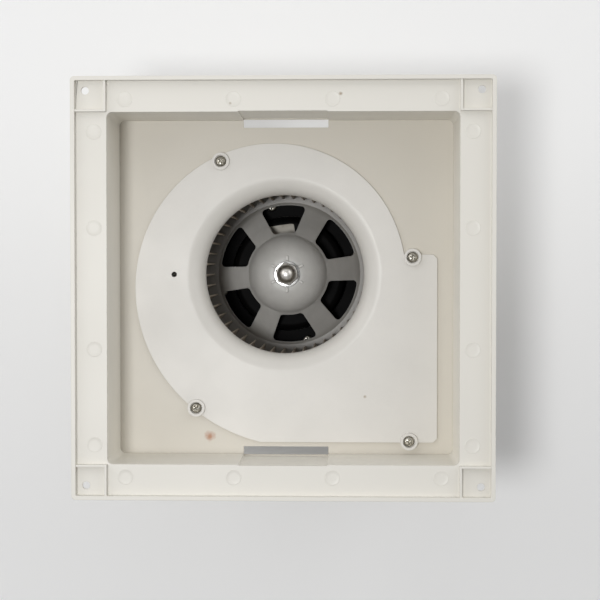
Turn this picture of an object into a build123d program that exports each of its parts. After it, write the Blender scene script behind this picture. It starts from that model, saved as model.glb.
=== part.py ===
from build123d import *
import math
import os

# Ceiling duct exhaust fan, lying on its back with the intake face up.
# The origin is under the middle of the square flange, on the plane the fan rests on.
# +X points along the outlet, +Z out of the intake face. All sizes are millimetres.

# Square tray and flange
FRAME_SIZE = 300.0
FRAME_CORNER_R = 3.0
LIP_WALL = 3.0
LIP_HEIGHT = 5.0
BAND_THICK = 2.5
OPENING_SIZE = 250.0
OPENING_CORNER_R = 4.0
TRAY_DEPTH = 60.0
TRAY_WALL = 2.5
TRAY_DRAFT = 1.0
FLOOR_THICK = 2.5
CORNER_RIB_THICK = 1.6
CORNER_RIB_DROP = 0.6
CEILING_HOLE_INSET = 9.8
CEILING_HOLE_D = 5.5
SLOT_LENGTH = 63.0
SLOT_WIDTH = 6.0
SLOT_POCKET = 0.6

# Heights from the rest plane
MOTOR_BAY_DEPTH = 30.0
SCROLL_HEIGHT = 108.0
BACK_WALL = 2.5
SCROLL_WALL = 2.5

# Scroll: the radius of the cover's edge grows from the tongue to the outlet
AXIS_X = -1.3
AXIS_Y = 9.7
TONGUE_R = 90.2
SCROLL_GROWTH = 36.0
SCROLL_POWER = 1.4
GROWTH_START = 15.0
GROWTH_END = 262.0
OUTLET_TOP_Y = 24.5
OUTLET_END_X = 112.8
COVER_LAP = 6.5
TONGUE_NOSE_R = 3.0

# Scroll cover with its bell mouth
COVER_THICK = 2.0
COVER_CORNER = 3.0
COVER_END_GAP = 0.5
THROAT_R = 59.4
BELL_R = 13.8
BELL_LIP = 1.2
EAR_R = 6.5
EAR_HEIGHT = 4.4
EAR_SEAT_R = 4.5
EAR_SEAT_HEIGHT = 1.8
SIGHT_HOLE = (-83.3, 9.7)
SIGHT_HOLE_D = 3.9
COVER_EAR_INSET = 9.64

# Screws
SCREW_R = 1.95
SCREW_HEAD_R = 3.9
SCREW_HEAD_H = 2.4
SCREW_PLAY = 0.25
THREAD_PLAY = 0.05
SCREW_BOSS_R = 4.5
COVER_SCREW_LENGTH = 20.0
SHORT_SCREW_LENGTH = 8.0

# Impeller
BLADE_COUNT = 46
BLADE_INNER_R = 60.0
BLADE_THICK = 1.2
BLADE_TIP_INSET = 2.0
BLADE_ARC_ANGLE = 68.0
BLADE_RING_STEP = 0.5
WHEEL_BACK_Z = 44.0
WHEEL_FRONT_Z = 122.0
WHEEL_PLATE = 2.0
WHEEL_RIM_R = 75.5
WHEEL_RING_WALL = 2.6
WHEEL_RING_HEIGHT = 5.0
DISH_OUTER_R = 57.0
DISH_INNER_R = 31.0
DISH_RISE = 26.0
HUB_SEAT_Z = 86.0
HUB_R = 11.0
HUB_BOTTOM_Z = 62.0
HUB_RIB_COUNT = 6
HUB_RIB_INNER_R = 10.2
HUB_RIB_OUTER_R = 14.2
HUB_RIB_THICK = 1.8
WINDOW_COUNT = 6
WINDOW_PHASE = 35.0
WINDOW_INNER_R = 32.5
WINDOW_OUTER_R = 55.0
WINDOW_INNER_HALF = 15.0
WINDOW_OUTER_HALF = 19.5
WINDOW_CORNER_R = 3.0

# Shaft, its nut and its bearings
SHAFT_R = 4.0
SHAFT_BOTTOM_Z = 4.6
SHAFT_TOP_Z = 98.0
SHAFT_PLAY = 0.05
BUSH_R = 7.0
WASHER_R = 10.0
WASHER_THICK = 1.6
NUT_FLATS = 16.0
NUT_HEX_HEIGHT = 7.5
NUT_DOME_R = 7.4
NUT_HEIGHT = 16.6
BEARING_R = 11.0
BEARING_WIDTH = 7.0
BEARING_GROOVE_R = 7.5
BEARING_GROOVE_WIDTH = 4.5
BEARING_GROOVE_DEPTH = 0.6

# Motor
MOTOR_R = 45.0
MOTOR_SHELL = 1.5
MOTOR_REAR_Z = 3.0
MOTOR_SPLIT_Z = 20.0
MOTOR_FRONT_Z = 48.0
MOTOR_EDGE_R = 5.0
MOTOR_RIM_R = 50.0
BEARING_CUP_WALL = 2.0
STATOR_BOTTOM_Z = 15.0
STATOR_HEIGHT = 18.0
ROTOR_R = 20.0
AIR_GAP = 0.4
WINDING_INNER_R = 23.0
WINDING_OUTER_R = 37.0
WINDING_HEIGHT = 7.0
CASE_SCREW_R = 47.4
CASE_SCREW_PHASE = 60.0
MOUNT_SCREW_R = 56.0
MOUNT_PHASE = 15.0
MOUNT_COUNT = 4
MOUNT_EAR_R = 6.0
MOUNT_EAR_THICK = 2.0
MOUNT_SCREW_SIZE_R = 2.0
MOUNT_HEAD_R = 4.0
MOUNT_NUT_FLATS = 7.0
MOUNT_NUT_H = 3.2
MOTOR_PLATE_R = 64.0
MOTOR_PLATE_THICK = 1.0
GROMMET_R = 6.0
MOTOR_HOLE_PLAY = 1.5

# Motor cover pan on the back
PAN_R = 66.0
PAN_SHEET = 1.2
PAN_EDGE_R = 5.0
PAN_FLANGE_R = 76.0
PAN_SCREW_R = 71.5
PAN_VENT_COUNT = 10
PAN_VENT_LENGTH = 22.0
PAN_VENT_WIDTH = 4.0
PAN_VENT_MID_R = 42.0

# Terminal box and capacitor on the back
BOX_X = 76.0
BOX_Y = -81.0
BOX_LENGTH = 56.0
BOX_WIDTH = 46.0
BOX_WALL = 2.0
BOX_LID = 2.0
BOX_POST_R = 4.0
BOX_POST_INSET = 5.5
BLOCK_LENGTH = 30.0
BLOCK_WIDTH = 16.0
BLOCK_HEIGHT = 13.0
BLOCK_POLES = 3
ENTRY_Z = 15.0
ENTRY_HOLE_R = 6.0
ENTRY_FLANGE_R = 8.5
ENTRY_BORE_R = 4.0
ENTRY_FLANGE = 2.0
CAP_X = -34.0
CAP_Y = -83.0
CAP_LENGTH = 38.0
CAP_WIDTH = 16.0
CAP_HEIGHT = 24.0
CAP_CORNER_R = 2.0
CLIP_SHEET = 1.0
CLIP_WIDTH = 10.0
CLIP_FOOT = 10.0

# Outlet adapter with its back-draught flap
OUTLET_FLANGE = 6.0
OUTLET_FLANGE_THICK = 3.0
ADAPTER_PLATE = 3.0
COLLAR_R = 49.0
COLLAR_WALL = 2.0
COLLAR_END_X = 150.0
COLLAR_BEAD_X = 117.0
COLLAR_BEAD = 0.9
FLAP_X = 124.0
FLAP_THICK = 1.4
FLAP_EDGE_GAP = 0.9
FLAP_HINGE_OFFSET = 8.0
FLAP_BARREL_R = 2.6
PIN_R = 1.25
PIN_PLAY = 0.05
PIN_BOSS_R = 4.0
PIN_BOSS_LENGTH = 3.0
STOP_WIDTH = 2.2
STOP_THICK = 1.6
STOP_GAP = 0.3

LIP_TOP_Z = MOTOR_BAY_DEPTH + SCROLL_HEIGHT + TRAY_DEPTH
BAND_TOP_Z = LIP_TOP_Z - LIP_HEIGHT
BAND_BOTTOM_Z = BAND_TOP_Z - BAND_THICK
FLOOR_TOP_Z = MOTOR_BAY_DEPTH + SCROLL_HEIGHT
FLOOR_BOTTOM_Z = FLOOR_TOP_Z - FLOOR_THICK
COVER_TOP_Z = FLOOR_TOP_Z + COVER_THICK
BACK_OUTER_Z = MOTOR_BAY_DEPTH
BACK_INNER_Z = MOTOR_BAY_DEPTH + BACK_WALL
FLOOR_SIZE = OPENING_SIZE - 2 * math.tan(math.radians(TRAY_DRAFT)) * (BAND_TOP_Z - FLOOR_TOP_Z)
FLOOR_OPENING_END_X = OUTLET_END_X - COVER_LAP
OUTLET_BOTTOM_Y = AXIS_Y + (TONGUE_R + SCROLL_GROWTH) * math.sin(math.radians(GROWTH_END))
COLLAR_Y = (OUTLET_TOP_Y + OUTLET_BOTTOM_Y) / 2
COLLAR_Z = (BACK_INNER_Z + FLOOR_BOTTOM_Z) / 2
FLAP_R = COLLAR_R - COLLAR_WALL - FLAP_EDGE_GAP
HINGE_Z = COLLAR_Z - FLAP_HINGE_OFFSET
CEILING_HOLE_PITCH = FRAME_SIZE - 2 * CEILING_HOLE_INSET
COVER_SCREWS = [(-48.4, 93.7), (93.9, 22.4), (-66.9, -89.8), (91.5, COVER_EAR_INSET - FLOOR_SIZE / 2)]


def on_axis(shape):
    """Move a piece drawn about the Z axis onto the fan's axis."""
    return Pos(AXIS_X, AXIS_Y, 0) * shape


def rod(radius, bottom_z, top_z):
    """A round bar along Z between two heights."""
    return Pos(0, 0, (bottom_z + top_z) / 2) * Cylinder(radius, top_z - bottom_z)


def rod_x(radius, start_x, end_x):
    """A round bar along X between two places."""
    bar = Rot(0, 90, 0) * Cylinder(radius, end_x - start_x)
    return Pos((start_x + end_x) / 2, 0, 0) * bar


def rod_y(radius, start_y, end_y):
    """A round bar along Y between two places."""
    bar = Rot(90, 0, 0) * Cylinder(radius, end_y - start_y)
    return Pos(0, (start_y + end_y) / 2, 0) * bar


def block(x, y, z):
    """A box given by its limits along each axis."""
    middle = Pos((x[0] + x[1]) / 2, (y[0] + y[1]) / 2, (z[0] + z[1]) / 2)
    return middle * Box(x[1] - x[0], y[1] - y[0], z[1] - z[0])


def ring(outer_r, inner_r, bottom_z, top_z):
    """A tube along Z between two heights."""
    return rod(outer_r, bottom_z, top_z) - rod(inner_r, bottom_z - 1, top_z + 1)


def around(radius, count, phase):
    """Places at even angles on a circle about the Z axis, in degrees from +X."""
    angles = [phase + 360 * k / count for k in range(count)]
    return [Rot(0, 0, a) * Pos(radius, 0, 0) for a in angles]


def group(pieces):
    """Separate solids kept together in one node."""
    return Compound(children=list(pieces))


def pan_screw(length, radius=SCREW_R, head_r=SCREW_HEAD_R):
    """A pan head screw, its head above the XY plane and its shank below."""
    head = extrude(Circle(head_r), SCREW_HEAD_H)
    head = chamfer(head.edges().group_by(Axis.Z)[-1], SCREW_HEAD_H * 0.35)
    return head + rod(radius, -length, 0)


def hex_prism(flats, bottom_z, top_z):
    """A hexagonal bar along Z."""
    outline = RegularPolygon(flats / 2, 6, major_radius=False)
    return Pos(0, 0, bottom_z) * extrude(outline, top_z - bottom_z)


def wall_box(size, corner_r, top_z, bottom_z, draft):
    """A square block with round corners that narrows downwards by the draft angle."""
    shrink = 2 * math.tan(math.radians(draft)) * (top_z - bottom_z)
    top = Pos(0, 0, top_z) * RectangleRounded(size, size, corner_r)
    bottom = Pos(0, 0, bottom_z) * RectangleRounded(size - shrink, size - shrink, corner_r)
    return loft([bottom, top], ruled=True)


def scroll_radius(angle):
    """Distance of the cover's edge from the axis at an angle in degrees."""
    turn = max(0.0, angle - GROWTH_START) / (GROWTH_END - GROWTH_START)
    return TONGUE_R + SCROLL_GROWTH * turn ** SCROLL_POWER


def scroll_face(inset, end_x, nose_r):
    """The scroll and its outlet seen from the intake, drawn in from the cover's edge."""
    top_y = OUTLET_TOP_Y - inset
    start = math.degrees(math.asin((top_y - AXIS_Y) / (TONGUE_R - inset)))
    steps = 18
    places = []
    for k in range(steps + 1):
        angle = start + (GROWTH_END - start) * k / steps
        reach = scroll_radius(angle) - inset
        turn = math.radians(angle)
        places.append((AXIS_X + reach * math.cos(turn), AXIS_Y + reach * math.sin(turn)))
    curve = Spline(places)
    first, last = places[0], places[-1]
    sides = Polyline(last, (end_x, last[1]), (end_x, first[1]), first)
    face = make_face([curve, sides])
    if nose_r > 0:
        tongue = face.vertices().sort_by_distance(Vector(first[0], first[1], 0))[0]
        face = fillet(tongue, nose_r)
    return face


def corner_ribs():
    """Two ribs in each corner of the flange, in line with the tray's walls."""
    near = OPENING_SIZE / 2
    far = FRAME_SIZE / 2 - LIP_WALL
    top = LIP_TOP_Z - CORNER_RIB_DROP
    upright = block((near, near + CORNER_RIB_THICK), (near, far + 1), (BAND_TOP_Z - 1, top))
    level = block((near, far + 1), (near, near + CORNER_RIB_THICK), (BAND_TOP_Z - 1, top))
    pair = upright + level
    return [Rot(0, 0, 90 * k) * pair for k in range(4)]


def slot_cut(side):
    """One grille spring slot in the floor and the shallow pocket in the wall above it."""
    inner_y = FLOOR_SIZE / 2 - SLOT_WIDTH + SLOT_POCKET
    outer_y = OPENING_SIZE / 2 + SLOT_POCKET
    half = SLOT_LENGTH / 2
    wall_y = FLOOR_SIZE / 2 + SLOT_POCKET
    slot = block((-half, half), (inner_y, wall_y), (FLOOR_BOTTOM_Z - 1, FLOOR_TOP_Z + 1))
    pocket = block((-half, half), (inner_y, outer_y), (FLOOR_TOP_Z, BAND_TOP_Z + 1))
    cut = slot + pocket
    return cut if side > 0 else mirror(cut, about=Plane.XZ)


def tray_frame():
    """Square flange with a raised lip, tapered tray walls and a floor open to the scroll."""
    flange = extrude(RectangleRounded(FRAME_SIZE, FRAME_SIZE, FRAME_CORNER_R), LIP_TOP_Z - BAND_BOTTOM_Z)
    body = Pos(0, 0, BAND_BOTTOM_Z) * flange
    inner = FRAME_SIZE - 2 * LIP_WALL
    recess = extrude(RectangleRounded(inner, inner, 1.0), LIP_HEIGHT + 1)
    body -= Pos(0, 0, BAND_TOP_Z) * recess
    outside = OPENING_SIZE + 2 * TRAY_WALL
    body += wall_box(outside, OPENING_CORNER_R + TRAY_WALL, BAND_TOP_Z, FLOOR_BOTTOM_Z, TRAY_DRAFT)
    body -= wall_box(OPENING_SIZE, OPENING_CORNER_R, BAND_TOP_Z, FLOOR_TOP_Z, TRAY_DRAFT)
    for rib in corner_ribs():
        body += rib
    for side in (1, -1):
        body -= slot_cut(side)
    opening = scroll_face(COVER_LAP, FLOOR_OPENING_END_X, TONGUE_NOSE_R)
    body -= Pos(0, 0, FLOOR_BOTTOM_Z - 1) * extrude(opening, FLOOR_THICK + 2)
    for x, y in COVER_SCREWS:
        body -= Pos(x, y, 0) * rod(SCREW_R + SCREW_PLAY, FLOOR_BOTTOM_Z - 1, FLOOR_TOP_Z + 1)
    half = CEILING_HOLE_PITCH / 2
    for x in (-half, half):
        for y in (-half, half):
            body -= Pos(x, y, 0) * rod(CEILING_HOLE_D / 2, BAND_BOTTOM_Z - 1, BAND_TOP_Z + 1)
    return body


def outlet_outline(grow):
    """Rectangle of the outlet flange, as limits along Y and Z."""
    reach = COVER_LAP + SCROLL_WALL
    y = (OUTLET_BOTTOM_Y + reach - SCROLL_WALL * 2 - grow, OUTLET_TOP_Y - reach + SCROLL_WALL * 2 + grow)
    return y, (BACK_OUTER_Z - grow, FLOOR_BOTTOM_Z)


def outlet_screw_places():
    """Screw places on the outlet flange, two along each upright side."""
    y, z = outlet_outline(OUTLET_FLANGE)
    edge = OUTLET_FLANGE / 2 + 0.5
    low, high = z[0] + OUTLET_FLANGE + 12, z[1] - 12
    return [(y[0] + edge, low), (y[0] + edge, high), (y[1] - edge, low), (y[1] - edge, high)]


def scroll_casing():
    """Scroll wall and back wall, with the outlet flange, screw bosses and motor hole."""
    height = FLOOR_BOTTOM_Z - BACK_OUTER_Z
    wall_face = scroll_face(COVER_LAP - SCROLL_WALL, OUTLET_END_X, 0)
    body = Pos(0, 0, BACK_OUTER_Z) * extrude(wall_face, height)
    y, z = outlet_outline(OUTLET_FLANGE)
    body += block((OUTLET_END_X - OUTLET_FLANGE_THICK, OUTLET_END_X), y, z)
    boss_bottom = FLOOR_BOTTOM_Z - COVER_SCREW_LENGTH - 6
    inside = scroll_face(COVER_LAP, OUTLET_END_X + 5, TONGUE_NOSE_R)
    body -= Pos(0, 0, BACK_INNER_Z) * extrude(inside, height)
    for x, y0 in COVER_SCREWS:
        body += Pos(x, y0, 0) * rod(SCREW_BOSS_R, boss_bottom, FLOOR_BOTTOM_Z)
    hole_bottom = FLOOR_BOTTOM_Z - COVER_SCREW_LENGTH - 1
    for x, y0 in COVER_SCREWS:
        body -= Pos(x, y0, 0) * rod(SCREW_R + THREAD_PLAY, hole_bottom, FLOOR_BOTTOM_Z + 1)
    body -= on_axis(rod(MOTOR_R + MOTOR_HOLE_PLAY, BACK_OUTER_Z - 1, BACK_INNER_Z + 1))
    for place in around(MOUNT_SCREW_R, MOUNT_COUNT, MOUNT_PHASE):
        body -= on_axis(place * rod(MOUNT_SCREW_SIZE_R + SCREW_PLAY, BACK_OUTER_Z - 1, BACK_INNER_Z + 1))
    for place in around(PAN_SCREW_R, MOUNT_COUNT, MOUNT_PHASE + 45):
        body += on_axis(place * rod(SCREW_BOSS_R - 1, BACK_OUTER_Z, BACK_OUTER_Z + SHORT_SCREW_LENGTH + 2))
        body -= on_axis(place * rod(SCREW_R + THREAD_PLAY, BACK_OUTER_Z - 1, BACK_OUTER_Z + SHORT_SCREW_LENGTH))
    for y0, z0 in outlet_screw_places():
        body -= Pos(0, y0, z0) * rod_x(SCREW_R + THREAD_PLAY, OUTLET_END_X - 4, OUTLET_END_X + 1)
    for x, y0 in box_screw_places() + clip_screw_places():
        body += Pos(x, y0, 0) * rod(SCREW_BOSS_R - 1, BACK_OUTER_Z, BACK_OUTER_Z + SHORT_SCREW_LENGTH + 2)
        body -= Pos(x, y0, 0) * rod(SCREW_R + THREAD_PLAY, BACK_OUTER_Z - 1, BACK_OUTER_Z + SHORT_SCREW_LENGTH)
    return body


def bell_mouth():
    """Rounded inlet that curls from the cover's face down to the throat."""
    middle_r = THROAT_R + BELL_R
    middle_z = COVER_TOP_Z - BELL_R
    inner = BELL_R - COVER_THICK
    slant = math.sqrt(0.5)
    with BuildSketch(Plane.XZ) as section:
        with BuildLine():
            ThreePointArc((middle_r, COVER_TOP_Z),
                          (middle_r - BELL_R * slant, middle_z + BELL_R * slant),
                          (THROAT_R, middle_z))
            Line((THROAT_R, middle_z), (THROAT_R, middle_z - BELL_LIP))
            Line((THROAT_R, middle_z - BELL_LIP), (THROAT_R + COVER_THICK, middle_z - BELL_LIP))
            Line((THROAT_R + COVER_THICK, middle_z - BELL_LIP), (THROAT_R + COVER_THICK, middle_z))
            ThreePointArc((THROAT_R + COVER_THICK, middle_z),
                          (middle_r - inner * slant, middle_z + inner * slant),
                          (middle_r, FLOOR_TOP_Z))
            Line((middle_r, FLOOR_TOP_Z), (middle_r, COVER_TOP_Z))
        make_face()
    return revolve(section.sketch, Axis.Z)


def scroll_cover():
    """Flat plate over the scroll with the bell mouth and four raised screw ears."""
    face = scroll_face(0, OUTLET_END_X - COVER_END_GAP, 0)
    corners = face.vertices().group_by(Axis.X)[-1]
    plate = extrude(chamfer(corners, COVER_CORNER), COVER_THICK)
    body = Pos(0, 0, FLOOR_TOP_Z) * plate
    body -= on_axis(rod(THROAT_R + BELL_R, FLOOR_TOP_Z - 1, COVER_TOP_Z + 1))
    body += on_axis(bell_mouth())
    for x, y in COVER_SCREWS:
        body += Pos(x, y, 0) * rod(EAR_R, FLOOR_TOP_Z, FLOOR_TOP_Z + EAR_HEIGHT)
    for x, y in COVER_SCREWS:
        seat = FLOOR_TOP_Z + EAR_SEAT_HEIGHT
        body -= Pos(x, y, 0) * rod(EAR_SEAT_R, seat, FLOOR_TOP_Z + EAR_HEIGHT + 1)
        body -= Pos(x, y, 0) * rod(SCREW_R + SCREW_PLAY, FLOOR_TOP_Z - 1, seat + 1)
    body -= Pos(*SIGHT_HOLE, 0) * rod(SIGHT_HOLE_D / 2, FLOOR_TOP_Z - 1, COVER_TOP_Z + 1)
    return body


def cover_screws():
    """Four pan head screws through the cover and the floor into the casing's bosses."""
    screw = pan_screw(COVER_SCREW_LENGTH)
    seat = FLOOR_TOP_Z + EAR_SEAT_HEIGHT
    return group(Pos(x, y, seat) * screw for x, y in COVER_SCREWS)


def wheel_ring():
    """Ring round the blades' front ends."""
    inner_r = WHEEL_RIM_R - WHEEL_RING_WALL
    return ring(WHEEL_RIM_R, inner_r, WHEEL_FRONT_Z - WHEEL_RING_HEIGHT, WHEEL_FRONT_Z)


def blade_arc_radius():
    """Bend radius that brings the blade's tip just inside the wheel's rim."""
    angle = math.radians(BLADE_ARC_ANGLE)
    tip_r = WHEEL_RIM_R - BLADE_TIP_INSET
    along = BLADE_INNER_R * math.sin(angle)
    spread = 2 * (1 - math.cos(angle))
    return (math.sqrt(along ** 2 + spread * (tip_r ** 2 - BLADE_INNER_R ** 2)) - along) / spread


def blade():
    """One forward curved blade between the back plate and the front ring."""
    arc_r = blade_arc_radius()

    def at(radius, turn):
        angle = math.radians(turn)
        return (BLADE_INNER_R + radius * math.sin(angle), arc_r - radius * math.cos(angle))

    outer, inner = arc_r, arc_r - BLADE_THICK
    end = BLADE_ARC_ANGLE
    with BuildSketch() as section:
        with BuildLine():
            ThreePointArc(at(outer, 0), at(outer, end / 2), at(outer, end))
            Line(at(outer, end), at(inner, end))
            ThreePointArc(at(inner, end), at(inner, end / 2), at(inner, 0))
            Line(at(inner, 0), at(outer, 0))
        make_face()
    solid = extrude(section.sketch, WHEEL_FRONT_Z - BLADE_RING_STEP - WHEEL_BACK_Z - WHEEL_PLATE)
    return Pos(0, 0, WHEEL_BACK_Z + WHEEL_PLATE) * solid - wheel_ring()


def wheel_dish():
    """Back plate of the impeller, dished towards the intake, with its hub."""
    rise_z = WHEEL_BACK_Z + DISH_RISE
    top_z = HUB_SEAT_Z
    t = WHEEL_PLATE
    with BuildSketch(Plane.XZ) as section:
        with BuildLine():
            outer = Polyline((BUSH_R, top_z), (HUB_R, top_z))
            crown = ThreePointArc((HUB_R, top_z), (DISH_INNER_R * 0.72, top_z - 3.4), (DISH_INNER_R, rise_z + t))
            Polyline((DISH_INNER_R, rise_z + t), (DISH_OUTER_R, WHEEL_BACK_Z + t),
                     (WHEEL_RIM_R, WHEEL_BACK_Z + t), (WHEEL_RIM_R, WHEEL_BACK_Z),
                     (DISH_OUTER_R - t * 0.6, WHEEL_BACK_Z), (DISH_INNER_R - t * 0.6, rise_z))
            ThreePointArc((DISH_INNER_R - t * 0.6, rise_z),
                          (DISH_INNER_R * 0.68, top_z - 3.4 - t), (HUB_R, top_z - t - 0.6))
            Polyline((HUB_R, top_z - t - 0.6), (HUB_R, HUB_BOTTOM_Z), (BUSH_R, HUB_BOTTOM_Z), (BUSH_R, top_z))
        make_face()
    return revolve(section.sketch, Axis.Z)


def window_cut():
    """One trapezoid opening between two arms of the dish."""
    def at(radius, angle):
        turn = math.radians(angle)
        return (radius * math.cos(turn), radius * math.sin(turn))

    a, b = WINDOW_INNER_HALF, WINDOW_OUTER_HALF
    near, far = WINDOW_INNER_R, WINDOW_OUTER_R
    with BuildSketch() as section:
        with BuildLine():
            ThreePointArc(at(far, -b), at(far, 0), at(far, b))
            Line(at(far, b), at(near, a))
            ThreePointArc(at(near, a), at(near, 0), at(near, -a))
            Line(at(near, -a), at(far, -b))
        make_face()
        fillet(section.vertices(), WINDOW_CORNER_R)
    return Pos(0, 0, WHEEL_BACK_Z - 1) * extrude(section.sketch, HUB_SEAT_Z - WHEEL_BACK_Z)


def impeller():
    """Dished back plate of the squirrel cage wheel, with six windows and the ribbed hub."""
    wheel = wheel_dish()
    for k in range(WINDOW_COUNT):
        wheel -= Rot(0, 0, WINDOW_PHASE + 360 * k / WINDOW_COUNT) * window_cut()
    rib = block((HUB_RIB_INNER_R, HUB_RIB_OUTER_R), (-HUB_RIB_THICK / 2, HUB_RIB_THICK / 2),
                (HUB_SEAT_Z - 3, HUB_SEAT_Z + 0.8))
    for k in range(HUB_RIB_COUNT):
        wheel += Rot(0, 0, 90 + 360 * k / HUB_RIB_COUNT) * rib
    return on_axis(wheel)


def impeller_blades():
    """The forward curved blades, each joined to the back plate and the front ring."""
    one = blade()
    return group(on_axis(Rot(0, 0, 360 * k / BLADE_COUNT) * one) for k in range(BLADE_COUNT))


def hub_bush():
    """Metal sleeve moulded into the hub, a sliding fit on the shaft."""
    return on_axis(ring(BUSH_R, SHAFT_R + SHAFT_PLAY, HUB_BOTTOM_Z - 1, HUB_SEAT_Z))


def hub_washer():
    """Flat washer under the cap nut."""
    return on_axis(ring(WASHER_R, SHAFT_R + SHAFT_PLAY, HUB_SEAT_Z, HUB_SEAT_Z + WASHER_THICK))


def cap_nut():
    """Domed nut on the shaft's end."""
    bottom = HUB_SEAT_Z + WASHER_THICK
    collar = rod(NUT_DOME_R, bottom, bottom + NUT_HEIGHT - NUT_DOME_R)
    dome = Pos(0, 0, bottom + NUT_HEIGHT - NUT_DOME_R) * Sphere(NUT_DOME_R)
    body = hex_prism(NUT_FLATS, bottom, bottom + NUT_HEX_HEIGHT) + collar + dome
    body -= rod(SHAFT_R + SHAFT_PLAY, bottom - 1, SHAFT_TOP_Z + 0.5)
    return on_axis(body)


def motor_shaft():
    """Steel shaft through both bearings, the rotor and the hub."""
    body = rod(SHAFT_R, SHAFT_BOTTOM_Z, SHAFT_TOP_Z)
    return on_axis(chamfer(body.edges().filter_by(GeomType.CIRCLE), 0.6))


def rotor_core():
    """Laminated rotor on the shaft, with its end rings."""
    bottom, top = STATOR_BOTTOM_Z, STATOR_BOTTOM_Z + STATOR_HEIGHT
    body = ring(ROTOR_R, SHAFT_R + SHAFT_PLAY, bottom, top)
    body += ring(ROTOR_R - 1.5, ROTOR_R - 6, bottom - 2.5, top + 2.5)
    return on_axis(body)


def bearing(bottom_z):
    """Ball bearing with a shield groove on each face."""
    top_z = bottom_z + BEARING_WIDTH
    body = ring(BEARING_R, SHAFT_R + SHAFT_PLAY, bottom_z, top_z)
    outer = BEARING_GROOVE_R + BEARING_GROOVE_WIDTH / 2
    inner = BEARING_GROOVE_R - BEARING_GROOVE_WIDTH / 2
    body -= ring(outer, inner, top_z - BEARING_GROOVE_DEPTH, top_z + 1)
    body -= ring(outer, inner, bottom_z - 1, bottom_z + BEARING_GROOVE_DEPTH)
    return on_axis(body)


def motor_cup(closed_z, open_z):
    """Pressed motor shell: a round cup with a rim and a bearing seat."""
    low, high = min(closed_z, open_z), max(closed_z, open_z)
    inward = 1 if open_z > closed_z else -1
    body = rod(MOTOR_R, low, high)
    closed = body.edges().filter_by(GeomType.CIRCLE).sort_by(Axis.Z)
    body = fillet(closed[0] if inward > 0 else closed[-1], MOTOR_EDGE_R)
    cavity_low = low + MOTOR_SHELL if inward > 0 else low - 1
    cavity_high = high + 1 if inward > 0 else high - MOTOR_SHELL
    body -= rod(MOTOR_R - MOTOR_SHELL, cavity_low, cavity_high)
    rim_z = (open_z - MOTOR_SHELL, open_z) if inward > 0 else (open_z, open_z + MOTOR_SHELL)
    body += ring(MOTOR_RIM_R, MOTOR_R - MOTOR_SHELL, *rim_z)
    return body


def motor_front_shell():
    """Front motor shell with the front bearing cup and four mounting ears."""
    body = motor_cup(MOTOR_FRONT_Z, MOTOR_SPLIT_Z)
    cup_top = MOTOR_FRONT_Z + BEARING_WIDTH - MOTOR_SHELL
    cup_r = BEARING_R + BEARING_CUP_WALL
    body += rod(cup_r, MOTOR_FRONT_Z - MOTOR_SHELL, cup_top + BEARING_CUP_WALL / 2)
    body -= rod(BEARING_R, MOTOR_FRONT_Z - MOTOR_SHELL - 1, cup_top)
    body -= rod(SHAFT_R + 1.5, MOTOR_FRONT_Z, cup_top + 5)
    for place in around(MOUNT_SCREW_R, MOUNT_COUNT, MOUNT_PHASE):
        tab = place * rod(MOUNT_EAR_R, MOTOR_SPLIT_Z, MOTOR_SPLIT_Z + MOUNT_EAR_THICK)
        web = block((-10, 0), (-MOUNT_EAR_R, MOUNT_EAR_R), (MOTOR_SPLIT_Z, MOTOR_SPLIT_Z + MOUNT_EAR_THICK))
        body += tab + place * web
        body -= place * rod(MOUNT_SCREW_SIZE_R + SCREW_PLAY, MOTOR_SPLIT_Z - 1, MOTOR_SPLIT_Z + 5)
    body -= rod(MOTOR_R - MOTOR_SHELL, MOTOR_SPLIT_Z - 1, MOTOR_SPLIT_Z + MOUNT_EAR_THICK + 1)
    for place in around(CASE_SCREW_R, MOUNT_COUNT, CASE_SCREW_PHASE):
        body -= place * rod(1.5 + THREAD_PLAY, MOTOR_SPLIT_Z - 1, MOTOR_SPLIT_Z + 3)
    return on_axis(body)


def motor_rear_shell():
    """Rear motor shell with the rear bearing cup."""
    body = motor_cup(MOTOR_REAR_Z, MOTOR_SPLIT_Z)
    cup_r = BEARING_R + BEARING_CUP_WALL
    seat_z = MOTOR_REAR_Z + MOTOR_SHELL
    body += rod(cup_r, MOTOR_REAR_Z, seat_z + BEARING_WIDTH)
    body -= rod(BEARING_R, seat_z, seat_z + BEARING_WIDTH + 1)
    for place in around(CASE_SCREW_R, MOUNT_COUNT, CASE_SCREW_PHASE):
        body -= place * rod(1.5 + THREAD_PLAY, MOTOR_SPLIT_Z - 3, MOTOR_SPLIT_Z + 1)
    return on_axis(body)


def motor_case_screws():
    """Four small screws through the rims of the two motor shells."""
    screw = pan_screw(MOTOR_SHELL * 2, 1.5, 2.3)
    seat = MOTOR_SPLIT_Z - MOTOR_SHELL
    down = Pos(0, 0, seat) * Rot(180, 0, 0) * screw
    return group(on_axis(place * down) for place in around(CASE_SCREW_R, MOUNT_COUNT, CASE_SCREW_PHASE))


def stator_core():
    """Laminated stator pressed into the shells, with its bore round the rotor."""
    bottom = STATOR_BOTTOM_Z
    body = ring(MOTOR_R - MOTOR_SHELL, ROTOR_R + AIR_GAP, bottom, bottom + STATOR_HEIGHT)
    return on_axis(body)


def stator_windings():
    """The winding heads on both faces of the stator."""
    bottom, top = STATOR_BOTTOM_Z, STATOR_BOTTOM_Z + STATOR_HEIGHT
    upper = ring(WINDING_OUTER_R, WINDING_INNER_R, top, top + WINDING_HEIGHT)
    lower = ring(WINDING_OUTER_R, WINDING_INNER_R, bottom - WINDING_HEIGHT, bottom)
    return group(on_axis(part) for part in (upper, lower))


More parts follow.
